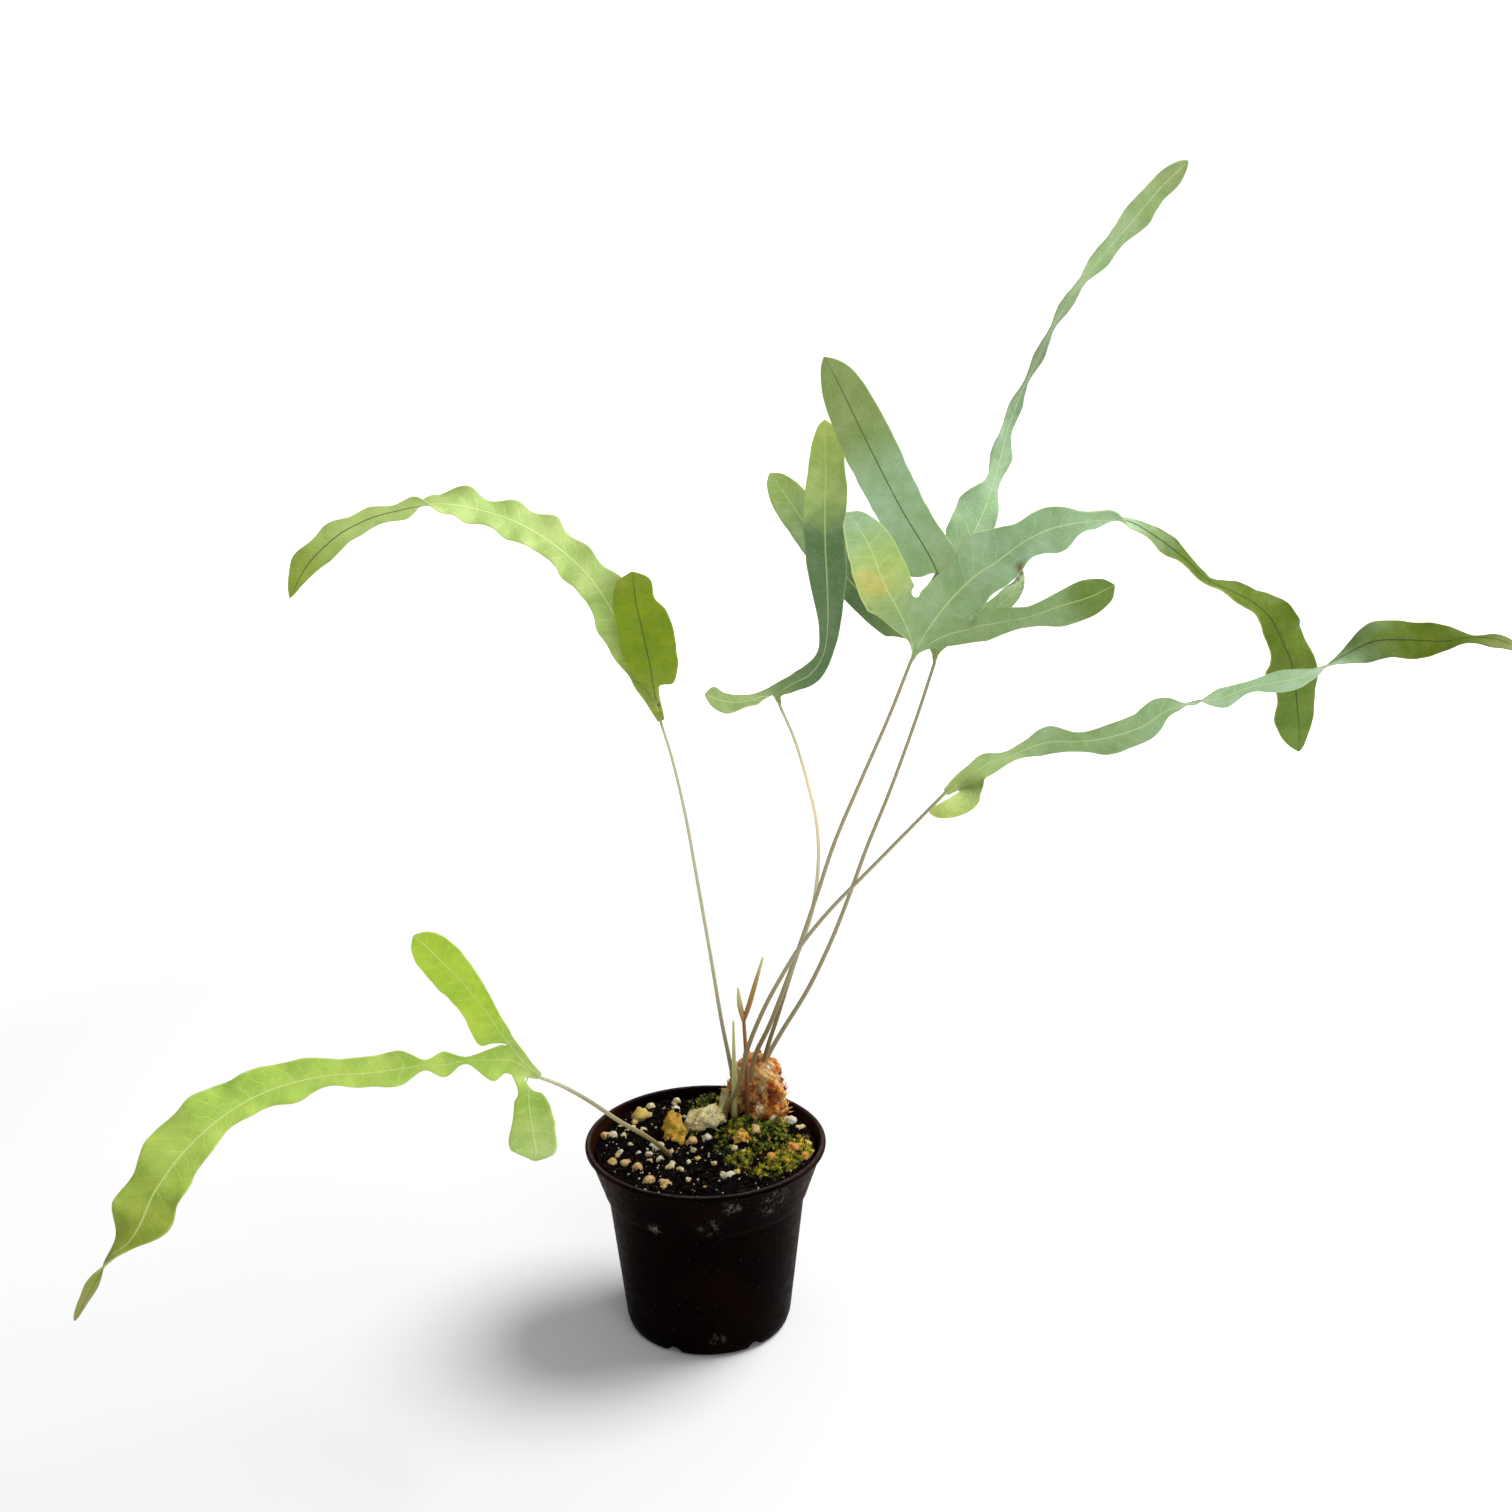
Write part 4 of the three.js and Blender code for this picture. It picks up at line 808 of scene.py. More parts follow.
barkRows = 44
for name, parts in rhizomes.items():
    bm = bmesh.new()
    tintLayer = bm.verts.layers.float_color.new("tint")
    seed = draw.random() * 40
    for part in parts:
        rows = [(*p, r) for p, r in zip(part["points"], part["radii"])]
        rows = spacedRows(rows, barkRows)[0]
        bump = part["bump"]

        def knobbly(radius, a, i):
            k = i * 9 / barkRows
            rough = math.sin(3 * a + 1.7 * k) + 0.7 * math.sin(5 * a - 2.3 * k)
            fine = noise.noise(Vector((math.cos(a) * 2.2, math.sin(a) * 2.2, k * 1.6 + seed)))
            return radius * (1 + bump * rough + 0.10 * fine)

        lines = addStem(bm, rows, 40, knobbly)
        for i, line in enumerate(lines):
            for vert in line:
                patch = 0.5 + 1.4 * noise.noise(vert.co * 0.42)
                low, high = [linear(c) for c in part["tints"]]
                vert[tintLayer] = mixed(low, high, smooth(patch))
    closeUp(bm)
    scaled = scaling[name]
    reach, tints = scaled["reach"], scaled["tints"]
    bm.faces.ensure_lookup_table()
    faces = [face for face in bm.faces if aboveGround(face)]
    sizes = [f.calc_area() for f in faces]
    places = []
    for i, face in enumerate(draw.choices(faces, sizes, k=scaled["scales"])):
        spot, out = face.calc_center_median(), face.normal
        lean = out * (0.35 + 0.5 * draw.random()) + upward * draw.uniform(0.2, 0.9)
        lean += Vector((draw.uniform(-0.6, 0.6), draw.uniform(-0.6, 0.6), draw.uniform(-0.2, 0.3)))
        turn = lean.to_track_quat("Z", "Y").to_matrix().to_4x4()
        length = reach[0] + (reach[1] - reach[0]) * draw.random() ** 3
        strands = smooth((spot.z - 79) / 7) if name == "rhizome_main" else 0
        width = min(1.5, 0.35 + 0.4 * length) * (1 - 0.6 * strands)
        patch = 0.5 + 1.3 * noise.noise(spot * 0.42)
        grow = Matrix.Diagonal((width * 1.6, width * 1.2, length, 1))
        spin = Matrix.Rotation(draw.random() * anyTurn, 4, "Z")
        matrix = Matrix.Translation(spot - out * 0.15) @ turn @ spin @ grow
        shade = min(0.99, max(0, patch + draw.uniform(-0.25, 0.25) + 0.3 * strands))
        chosen = tints[int(len(tints) * shade)]
        places.append((i, matrix, linear(chosen, 0.95 + 0.35 * draw.random())))
    templates = [templateFrom(blank.copy()) for blank in scaleTemplates]
    nodules = []
    for face in draw.choices(faces, sizes, k=scaled["nodules"]):
        spot = face.calc_center_median()
        size = draw.uniform(0.45, 1.7) * scaled["lump"]
        patch = min(1, max(0, 0.6 + noise.noise(spot * 0.42) + draw.uniform(-0.2, 0.2)))
        matrix = tumbled(*(spot + face.normal * size * 0.2), size)
        nodules.append((len(nodules), matrix, linear(tints[int(patch * (len(tints) - 1))])))
    addPiece(name + "_nodules", scattered(lumpTemplates(2), nodules), [bark])
    addPiece(name + "_bark", bm, [bark], [name])
    addPiece(name + "_scales", scattered(templates, places), [hairy])
for bm in scaleTemplates:
    bm.free()
print("rhizomes made")

# the pattern of a blade: ribs, side veins, the net between them and the pale rim.
# Place is millimetres across and along, and runs below zero along a lobe. Form holds the offset
# from a side rib, where that rib is, and the rim's distance. Half is the blade's half width.
leafPattern, patternIn, patternOut = newGroup(
    "leafPattern", {"Place": "vector", "Form": "color", "Half": "float"},
    {"Rib": "float", "Vein": "float", "Net": "float", "Rim": "float", "Height": "float"})
tree = leafPattern
parts = addNode(tree, "SeparateXYZ", {0: patternIn.outputs["Place"]})
form = addNode(tree, "SeparateColor", {0: patternIn.outputs["Form"]})
aside = maths(tree, "ABSOLUTE", parts.outputs[0])
wide = maths(tree, "MULTIPLY_ADD", patternIn.outputs["Half"], 0.034, 0.07)
inner = maths(tree, "MULTIPLY", wide, 0.55)
outer = maths(tree, "MULTIPLY", wide, 1.25)
mainRib = fade(tree, aside, inner, outer, 1.0, 0.0)
mainRib = maths(tree, "MULTIPLY", mainRib, maths(tree, "GREATER_THAN", parts.outputs[1], -0.5))
sideRib = fade(tree, maths(tree, "ABSOLUTE", form.outputs[0]), maths(tree, "MULTIPLY", inner, 0.7),
               maths(tree, "MULTIPLY", outer, 0.85), 1.0, 0.0)
rib = maths(tree, "MAXIMUM", mainRib, maths(tree, "MULTIPLY", sideRib, form.outputs[1]))
wobble = noiseAt(tree, patternIn.outputs["Place"], 0.16, 2.0)
slant = maths(tree, "MULTIPLY_ADD", aside, -0.62, maths(tree, "ABSOLUTE", parts.outputs[1]))
slant = maths(tree, "MULTIPLY_ADD", wobble, 5.0, slant)
step = maths(tree, "FRACT", maths(tree, "DIVIDE", slant, 4.6))
toLine = maths(tree, "ABSOLUTE", maths(tree, "SUBTRACT", step, 0.5))
inBlade = fade(tree, form.outputs[2], 0.6, 2.2)
vein = maths(tree, "MULTIPLY", fade(tree, toLine, 0.02, 0.085, 1.0, 0.0), inBlade)
netCells = addNode(tree, "TexVoronoi", {"Vector": patternIn.outputs["Place"], "Scale": 0.62},
                   feature="DISTANCE_TO_EDGE", voronoi_dimensions="2D")
net = fade(tree, netCells.outputs["Distance"], 0.01, 0.11, 1.0, 0.0)
net = maths(tree, "MULTIPLY", net, inBlade)
rim = fade(tree, form.outputs[2], 0.12, 0.5, 1.0, 0.0)
height = maths(tree, "MULTIPLY_ADD", rib, 0.9, maths(tree, "MULTIPLY", vein, -0.5))
height = maths(tree, "MULTIPLY_ADD", net, -0.22, height)
for key, value in (("Rib", rib), ("Vein", vein), ("Net", net), ("Rim", rim), ("Height", height)):
    tree.links.new(value, patternOut.inputs[key])


def leafMaterial(name, look):
    material, tree, shader = newMaterial(name, IOR=1.45)
    shader.inputs["Specular IOR Level"].default_value = look["gloss"]
    place = objectPlace(tree)
    across = addNode(tree, "UVMap", uv_map="UVMap").outputs[0]
    form = addNode(tree, "Attribute", attribute_name="form")
    tintNode = addNode(tree, "Attribute", attribute_name="tint")
    pattern = useGroup(tree, leafPattern, Place=across, Form=form.outputs["Color"],
                       Half=form.outputs["Alpha"])
    patchy = useGroup(tree, mottle, Place=place, Size=0.013)
    cloud = useGroup(tree, mottle, Place=place, Size=0.0045)
    bloom = useGroup(tree, mottle, Place=place, Size=0.0035)
    tint = tintNode.outputs["Color"]
    deep = multiplied(tree, tint, look["deep"])
    base = blend(tree, maths(tree, "MULTIPLY", patchy["Broad"], look["patches"]), tint, deep)
    cloudTint = multiplied(tree, base, look["cloud"])
    base = blend(tree, maths(tree, "MULTIPLY", cloud["Broad"], look["clouds"]), base, cloudTint)
    # waxy bloom, a pale patchy coating, here also painted sheen: with the gloss kept low, this
    # pale tone stands in for the soft sheen of the light on the blade
    bloomAndSheen = maths(tree, "MULTIPLY", patchy["Fine"], look["bloom"])
    base = blend(tree, bloomAndSheen, base, look["bloomSheenTint"])
    dust = maths(tree, "MULTIPLY", bloom["Specks"], look["specks"])
    base = blend(tree, dust, base, (0.78, 0.85, 0.62, 1))
    veinTint = multiplied(tree, tint, look["vein"])
    base = blend(tree, maths(tree, "MULTIPLY", pattern["Vein"], look["veins"]), base, veinTint)
    netTint = multiplied(tree, tint, look["net"])
    base = blend(tree, maths(tree, "MULTIPLY", pattern["Net"], look["nets"]), base, netTint)
    ribShare = maths(tree, "POWER", pattern["Rib"], look["ribSharp"])
    base = blend(tree, maths(tree, "MULTIPLY", ribShare, look["ribs"]), base,
                 blend(tree, 0.4, look["ribTint"], tint))
    margin = addNode(tree, "Attribute", attribute_name="margin").outputs["Fac"]
    margin = maths(tree, "MAXIMUM", margin, look["rims"])
    rimShare = maths(tree, "MULTIPLY", pattern["Rim"], margin)
    base = blend(tree, rimShare, base, blend(tree, 0.6, tint, look["rimTint"]))
    dryness = tintNode.outputs["Alpha"]
    crackle = noiseAt(tree, place, 900, 3.0, 0.7)
    crackle = fade(tree, crackle, 0.42, 0.58)
    dead = blend(tree, crackle, (0.07, 0.045, 0.02, 1), (0.66, 0.68, 0.56, 1))
    feed(tree, shader, Base_Color=blend(tree, dryness, base, dead),
         Roughness=fade(tree, maths(tree, "ADD", bloomAndSheen, bloom["Fine"]), 0.0, 1.3, *look["rough"]))
    relief = maths(tree, "MULTIPLY_ADD", bloom["Fine"], 0.12, pattern["Height"])
    bumped(tree, shader, relief, 0.00022, look["relief"])
    return material


leafUpper = leafMaterial("leafUpper", {
    # the bloom share and its pale tint are the waxy bloom and also painted sheen
    "gloss": 0.14, "deep": (0.66, 0.78, 0.50, 1), "patches": 0.65, "bloom": 0.08,
    "bloomSheenTint": (0.42, 0.56, 0.42, 1), "specks": 0.45,
    "vein": (1.28, 1.2, 1.15, 1), "veins": 0.32,
    "cloud": (0.68, 0.80, 0.52, 1), "clouds": 0.55, "net": (1.25, 1.18, 1.2, 1), "nets": 0.2,
    "ribTint": (0.62, 0.74, 0.30, 1), "ribs": 0.8, "ribSharp": 1.4,
    "rimTint": (0.72, 0.76, 0.28, 1), "rims": 0.25, "rough": (0.4, 0.56), "relief": 0.5,
})
leafUnder = leafMaterial("leafUnder", {
    # the bloom share and its pale tint are the waxy bloom and also painted sheen
    "gloss": 0.1, "deep": (0.70, 0.80, 0.58, 1), "patches": 0.65, "bloom": 0.06,
    "bloomSheenTint": (0.42, 0.52, 0.34, 1), "specks": 0.25,
    "vein": (0.76, 0.84, 0.66, 1), "veins": 0.45,
    "cloud": (0.70, 0.80, 0.56, 1), "clouds": 0.55, "net": (1.16, 1.14, 1.12, 1), "nets": 0.3,
    "ribTint": (0.03, 0.05, 0.01, 1), "ribs": 0.85, "ribSharp": 4.0,
    "rimTint": (0.58, 0.62, 0.22, 1), "rims": 0.2, "rough": (0.48, 0.64), "relief": 0.5,
})

stalkSkin, tree, shader, place, skin, tint = tintedMaterial("stalkSkin", 0.006, IOR=1.45)
along = addNode(tree, "UVMap", uv_map="UVMap").outputs[0]
stretch = addNode(tree, "Mapping", {"Vector": along, "Scale": (9.0, 0.12, 1.0)}).outputs[0]
streak = noiseAt(tree, stretch, 1.0, 3.0)
base = blend(tree, fade(tree, streak, 0.35, 0.65), (0.62, 0.56, 0.5, 1), (1.16, 1.14, 1.1, 1))
base = multiplied(tree, tint, base)
base = blend(tree, maths(tree, "MULTIPLY", skin["Specks"], 0.3), base, (0.14, 0.09, 0.05, 1))
feed(tree, shader, Base_Color=base, Roughness=fade(tree, skin["Fine"], 0.0, 1.0, 0.36, 0.55))
bumped(tree, shader, streak, 0.00012)


# a stem with its own UV map round and along it, tinted by stops from foot to head
def addTintedStem(bm, rows, sides, stops, groove=0.0):
    uvLayer = bm.loops.layers.uv.verify()
    tintLayer = bm.verts.layers.float_color.get("tint") or bm.verts.layers.float_color.new("tint")

    def grooved(radius, a, i):
        return radius * (1 - groove * max(0, math.cos(a + 1.57)) ** 6)

    lines = addStem(bm, rows, sides, grooved if groove else None)
    at = {}
    run = 0
    for i, line in enumerate(lines):
        if i:
            run += (line[0].co - lines[i - 1][0].co).length
        for j, vert in enumerate(line):
            at[vert] = (j / sides, run)
            vert[tintLayer] = atStop(stops, i / (len(lines) - 1))
    for face in {face for vert in at for face in vert.link_faces}:
        for loop in face.loops:
            loop[uvLayer].uv = at[loop.vert]


def stemRows(points, radii, steps):
    rows = []
    for i, p in enumerate(points):
        t = i / (len(points) - 1) * (len(radii) - 1)
        k = min(len(radii) - 2, int(t))
        rows.append((*p, radii[k] + (radii[k + 1] - radii[k]) * (t - k)))
    return spacedRows(rows, steps)[0]


# leaf and stalk colours by name: each strip below names the few that it runs through. The leaf
# tone shade is painted shade, the blades' green darkened where they lie in shade.
tones = {
    "blue": (154, 180, 148), "dusty": (144, 166, 120), "sage": (134, 150, 94),
    # the two olive tones (90, 108, 16) and (120, 140, 16) are undersides seen on turned-over
    # blades: their own olive green darkened with painted shade
    "shade": (98, 120, 86), "green": (108, 130, 56), "dark": (90, 108, 16),
    "vivid": (120, 140, 16), "olive": (134, 146, 46), "pale": (172, 190, 116),
    "bright": (192, 206, 116), "lime": (166, 190, 84), "fresh": (172, 198, 58),
    "straw": (142, 140, 80), "silver": (198, 210, 176), "earth": (52, 30, 10),
    "brown": (104, 82, 44), "tan": (128, 112, 72), "grey": (146, 142, 112),
    "ash": (178, 178, 150), "cream": (220, 212, 180), "celery": (212, 220, 150),
    "chestnut": (96, 50, 26), "rust": (166, 108, 58), "amber": (176, 140, 70),
    "scorch": (120, 72, 20), "gold": (205, 185, 95), "dry": (205, 208, 190),
}


def toned(stops):
    return [(t, tones[name]) for t, name in stops]


youngStems = {
    "cut_stalk_stem": {
        "node": "cut_stalk", "slot": "stalk_pale",
        "stems": [{
            "points": [(11, 25, 64), (11.5, 24, 84), (11.5, 22.5, 98), (11.5, 21, 113)],
            "radii": [1.35, 1.1, 0.75, 0.4],
            "tints": [(0, "tan"), (0.3, "celery"), (1, "celery")],
        }],
    },
    "young_frond_stems": {
        "node": "young_frond", "slot": "stalk_young",
        "stems": [
            {"points": [(16, 18.5, 68), (16.2, 19, 84), (16, 19, 100), (15.3, 18.5, 116)],
             "radii": [0.95, 0.8, 0.7],
             "tints": [(0, "chestnut"), (1, "rust")]},
            {"points": [(15.3, 18.5, 114), (14, 18, 121), (13.4, 17.5, 128)],
             "radii": [0.8, 1.1, 0.4],
             "tints": [(0, "amber"), (1, "celery")]},
            {"points": [(15.3, 18.5, 114), (17.4, 18, 120.5), (20, 17.5, 130), (22.9, 17, 140.5)],
             "radii": [0.8, 1.1, 0.4],
             "tints": [(0, "rust"), (0.5, "amber"), (1, "celery")]},
        ],
    },
}
for name, young in youngStems.items():
    bm = bmesh.new()
    for stem in young["stems"]:
        addTintedStem(bm, stemRows(stem["points"], stem["radii"], 40), 16, toned(stem["tints"]))
    closeUp(bm)
    addPiece(name, bm, [stalkSkin], [young["node"]])
print("young stems made")


# the waves of an edge: how long they are, how far they lift it and cut into it, and where in a
# wave its left and right sides start
def waves(length, lift, cut, left=0, right=0.35):
    return {"length": length, "lift": lift, "cut": cut, "left": left, "right": right}


# fronds. A midrib row is x, y, z, the half widths left and right of it, and the turn of the blade.
# Tints run from the foot of each strip to its tip: the main blade first, then its lobes.
fronds = {
    "frond_left": {
        "slot": "frond_green",
        "stalk": [
            (12.5, 30, 64), (12.5, 30, 75), (10, 27, 93), (7, 22, 113), (3.5, 14, 142),
            (-0.5, 4, 174), (-4.5, -6, 205), (-8.5, -13, 228), (-12, -18, 243),
        ],
        "stalkRadii": [1.15, 0.95, 0.8, 0.7, 0.6],
        "stalkTints": [(0, "brown"), (0.15, "grey"), (0.5, "ash"), (1, "ash")],
        "tints": [(0, "olive"), (0.3, "pale"), (0.8, "pale"), (1, "olive")],
        "steps": 48,
        "wave": waves(13.5, 1.6, 0.07, 0.1, 0.45),
        "midrib": [
            (-12, -18, 244, 1.2, 1.2, 0), (-14.5, -19, 252, 3, 3, 0), (-18.5, -20, 263, 5, 5, 5),
            (-25, -22, 278.5, 7.5, 7, 10), (-31, -24, 291, 6, 8, 15),
            (-38.5, -25, 301, 7.2, 6.7, 20), (-48, -28, 310, 5.5, 8, 25),
            (-57.5, -30, 316.5, 7.4, 7, 28), (-67, -32, 320.5, 5.5, 5.5, 30),
            (-76.5, -35, 323.5, 7, 8.2, 40), (-85.5, -38, 324.5, 6.5, 6.5, 85),
            (-93.5, -40, 323.5, 3, 4.8, 125), (-102.5, -42, 321.5, 3.3, 3.8, 140),
            (-112.5, -44, 317, 4.5, 4.9, 145), (-121.5, -46, 309.5, 5, 4.6, 150),
            (-126, -47, 303.5, 4.1, 2.7, 145), (-129.5, -48, 297, 0.6, 0.6, 130),
        ],
        "lobes": [
            {
                "side": "right", "edge": (1, 5), "steps": 15,
                # this lobe is turned over and shows its underside: olive green darkened with
                # painted shade
                "tints": [(0, "vivid"), (0.8, "vivid"), (1, "olive")],
                "wave": waves(24, 0.9, 0.06, 0.5, 0.2),
                "midrib": [
                    (-13, -25, 256.5, 6, 6, 140), (-15, -31, 268, 9.2, 8, 165),
                    (-16.5, -33, 276.5, 11, 9, 172), (-18, -34, 284.5, 9, 8.5, 176),
                    (-19, -35, 290, 6.2, 7.5, 180), (-19.5, -35, 296.5, 6, 6, 180),
                    (-20, -35, 300.5, 2.5, 2.5, 180),
                ],
            },
        ],
    },
    "frond_middle": {
        "slot": "frond_green",
        "stalk": [
            (20, 27, 78), (22.5, 27, 90), (24.5, 25, 100), (28, 22, 113), (34.5, 16, 138),
            (40.5, 11, 159), (43, 7, 178.5), (42.5, 3, 197), (39, 0, 214.5), (34.5, -2, 231),
            (29.5, -3, 243.5),
        ],
        "stalkRadii": [1.1, 0.95, 0.85, 0.75, 0.65],
        "stalkTints": [(0, "brown"), (0.25, "tan"), (0.5, "ash"), (0.8, "cream"), (1, "ash")],
        # painted shade: the tone shade darkens the lower half of this blade
        "tints": [(0, "sage"), (0.15, "shade"), (0.62, "shade"), (0.76, "pale"), (1, "bright")],
        "steps": 32,
        "wave": waves(30, 0.6, 0.02),
        "midrib": [
            (29.5, -3, 244.5, 0.5, 0.5, 0), (28.5, -4, 248.5, 1.7, 1.7, 20),
            (33.5, -5, 252.5, 3.5, 3.5, 30), (40, -5, 256, 4, 4, 25),
            (44.5, -5, 263, 2.4, 3.2, 10), (46, -5, 273.5, 3.2, 4.7, 0), (46, -3, 287, 6, 6.5, 0),
            (45.5, -2, 299, 7, 7, 0), (45.5, 0, 312.5, 7.5, 7.5, -5), (46, 3, 324, 6.3, 7, -8),
            (46, 5, 334, 4.6, 6.2, -8), (46, 6, 339.5, 2.8, 3.8, -8), (46, 6, 342.5, 1.2, 1.2, -8),
        ],
        "lobes": [
            {
                "side": "left", "edge": (1, 4), "steps": 9,
                "tints": [(0, "sage")],
                "wave": waves(20, 0.5, 0.03),
                "midrib": [
                    (22, -12, 250, 3.2, 2.3, 35), (15.5, -20, 250.5, 2.7, 4.1, 45),
                    (9.5, -27, 253, 5.1, 4.6, 40), (5.5, -30, 255.5, 3.7, 4.1, 35),
                    (3, -31, 257, 1.2, 1.2, 35),
                ],
            },
        ],
    },
    "frond_front": {
        "slot": "frond_blue_green",
        "stalk": [
            (15.5, 23, 78), (17.5, 23, 88), (20, 22, 99), (25, 18, 112), (31, 11, 132),
            (36.5, 2, 153), (42, -7, 175), (47.5, -18, 198.5), (55.5, -30, 224.5), (64, -40, 250),
            (70.5, -47, 271),
        ],
        "stalkRadii": [1.2, 1.05, 0.9, 0.8, 0.7],
        "stalkTints": [(0, "brown"), (0.1, "tan"), (0.35, "grey"), (1, "grey")],
        # past its middle the blade turns over and shows its underside: olive green darkened with
        # painted shade
        "tints": [
            (0, "dusty"), (0.3, "blue"), (0.42, "blue"), (0.56, "dark"), (0.78, "dark"),
            (1, "green"),
        ],
        "spots": [(0.235, 0.86, 2.6, "scorch", 0.9, 0.0)],
        "margin": (0.55, 0.25),
        "steps": 54,
        "wave": waves(18, 1.4, 0.05),
        "midrib": [
            (71, -47, 271.5, 0.5, 0.5, 0), (72.5, -47.7, 276, 1.7, 1.7, 0),
            (75, -48.5, 281, 5, 5, 0), (78.5, -49.3, 286.5, 9, 9, 0),
            (83.5, -51, 293.5, 8.6, 9.5, -3), (90, -54, 301, 9.5, 8.6, -5),
            (97, -58, 307, 12, 8, -5), (105, -60, 313.5, 6.1, 6.1, -8),
            (113.5, -60, 317.5, 7.4, 7.9, 5), (123, -58, 319, 4.3, 5.2, 40),
            (132, -55, 319, 6, 6, 80), (141, -51, 316.5, 2.5, 2.5, 130),
            (151, -46, 310, 3.4, 4.7, 150), (161, -41, 302, 2.5, 3.7, 148),
            (169.5, -37, 294, 2.5, 3.4, 125), (179, -33, 289, 3, 5.4, 140),
            (186.5, -30, 284.5, 4, 5.5, 150), (193, -29, 279, 4.5, 9.5, 158),
            (198, -27, 270.5, 6.5, 9.5, 165), (203, -25, 260, 9, 9, 170),
            (205, -25, 248.5, 7.1, 7.8, 170), (206.5, -25, 238, 7.8, 4.4, 170),
            (207, -25, 230, 1.2, 1.2, 170),
        ],
        "lobes": [
            {
                "side": "left", "edge": (1, 5), "steps": 12, "margin": (0.95, 0.3),
                "tints": [(0, "sage"), (0.5, "pale"), (1, "blue")],
                "spots": [(0.42, -0.35, 9, "gold", 0.7, 0.0)],
                "wave": waves(40, 0.6, 0.02),
                "midrib": [
                    (65, -53, 291.5, 8.5, 9, -10), (60, -57, 302, 8.8, 8.8, -10),
                    (56.5, -61, 311.5, 7.8, 7.8, -10), (53, -65, 318.5, 6.3, 6.3, -5),
                    (50, -67, 323, 4, 4, -5), (48, -68, 325.5, 1.2, 1.2, 0),
                ],
            },
            {
                "side": "right", "edge": (1, 6), "steps": 15,
                "tints": [(0, "green"), (0.5, "dusty"), (0.66, "dusty"), (0.85, "green")],
                "wave": waves(40, 0.5, 0.02),
                "midrib": [
                    (88.5, -53.5, 281.5, 6, 4.6, 6), (98, -59.5, 287, 5.2, 3.8, 10),
                    (106.5, -64, 290, 3.4, 3.4, 12), (115.5, -67, 294, 4.2, 6.6, 8),
                    (124, -69, 297, 5.8, 6.1, 0), (129.5, -69, 299.5, 3.9, 4.2, 0),
                    (132.5, -69, 301, 1.5, 1.5, 0),
                ],
            },
        ],
    },
    "frond_back": {
        "slot": "frond_blue_green",
        "stalk": [
            (21.5, 33, 72), (22.5, 33, 83), (24.5, 32, 92), (30.5, 29, 105), (40, 24, 124),
            (48.5, 19, 145.5), (55, 13, 166.5), (61, 7, 187.5), (68.5, 0, 211), (76.5, -6, 238),
            (82.5, -10, 260),
        ],
        "stalkRadii": [1.2, 1.05, 0.9, 0.8, 0.7],
        "stalkTints": [(0, "brown"), (0.12, "grey"), (1, "grey")],
        # painted shade: the tone shade darkens a band past the middle of this blade
        "tints": [(0, "sage"), (0.3, "blue"), (0.56, "shade"), (0.78, "dusty"), (1, "sage")],
        "steps": 48,
        "wave": waves(20, 1.3, 0.06),
        "midrib": [
            (82.5, -10, 260.5, 0.5, 0.5, 0), (83, -10, 265, 1.8, 1.8, 0),
            (84.3, -9.4, 271, 5.6, 5.6, 0), (86.5, -8, 278.5, 9, 9, 0), (90.5, -5, 289, 9, 9, 0),
            (95, 0, 299.5, 9.5, 8, 10), (100.5, 6, 309.5, 10.5, 5.5, 22),
            (104.5, 12, 318.5, 4.6, 4.6, 45), (108, 17, 328.5, 5.6, 5.6, 50),
            (111, 22, 337, 4.5, 4.5, 55), (115.5, 27, 346.5, 4.3, 4.3, 68),
            (121, 31, 356.5, 4.2, 4.2, 70), (126.5, 35, 366.5, 4.2, 4.2, 70),
            (132, 38, 375.5, 4.4, 4.4, 70), (139, 41, 384.5, 4.6, 4.6, 65),
            (147, 44, 393.5, 5, 5, 55), (153.5, 46, 400.5, 5.5, 5.5, 45),
            (160.5, 48, 408, 5.6, 5.6, 40), (166.5, 50, 414.5, 5.4, 5.4, 40),
            (172, 51, 419.5, 4, 4, 40), (176.5, 52, 423.5, 1, 1, 30),
        ],
        "lobes": [
            {
                "side": "left", "edge": (1, 5), "steps": 17,
                # painted shade: the tone shade darkens this lobe a third of the way out
                "tints": [(0, "sage"), (0.3, "shade"), (0.7, "dusty"), (1, "pale")],
                "wave": waves(50, 0.5, 0.02),
                "midrib": [
                    (69.5, 6, 271.5, 6, 8, -10), (59.5, 18, 278.5, 6, 8, -10),
                    (50.5, 30, 287.5, 6.3, 8, -8), (42, 40, 297.5, 6.5, 7.5, -5),
                    (35, 47, 307, 6.3, 7, 0), (31, 50, 313, 4.2, 4.2, 0),
                    (28.5, 51, 316, 1.5, 1.5, 0),
                ],
            },
            {
                "side": "left", "edge": (5, 10), "steps": 18, "reach": 0.16,
                "tints": [(0, "dusty"), (0.5, "blue"), (0.75, "sage"), (1, "sage")],
                "wave": waves(60, 0.6, 0.02),
                "midrib": [
                    (84.5, -9, 287, 11, 11, 175), (80, -12, 297, 9.6, 9.2, 174),
                    (74, -16, 308.5, 8.2, 8.2, 172), (65.5, -22, 324.5, 8.4, 8.4, 172),
                    (58, -26, 339.5, 8.6, 8.7, 172), (51, -28, 354, 7.8, 7.4, 175),
                    (47, -29, 362, 6, 5, 178), (43.5, -30, 368.5, 1.2, 1.2, 180),
                ],
            },
            {
                "side": "right", "edge": (1, 4), "steps": 12,
                "tints": [(0, "green"), (0.5, "dusty"), (1, "silver")],
                "spots": [(0.9, 0.0, 11, "dry", 1.0, 1.3)],
                "wave": waves(50, 0.4, 0.02),
                "midrib": [
                    (94, -2, 269, 4, 4, 20), (103.5, 4, 274.5, 4, 4, 30),
                    (110.5, 6, 280, 4, 4, 30), (112.5, 2, 288, 3.8, 3.8, 60),
                    (108.5, -4, 293, 3.6, 3.6, 120),
                ],
            },
        ],
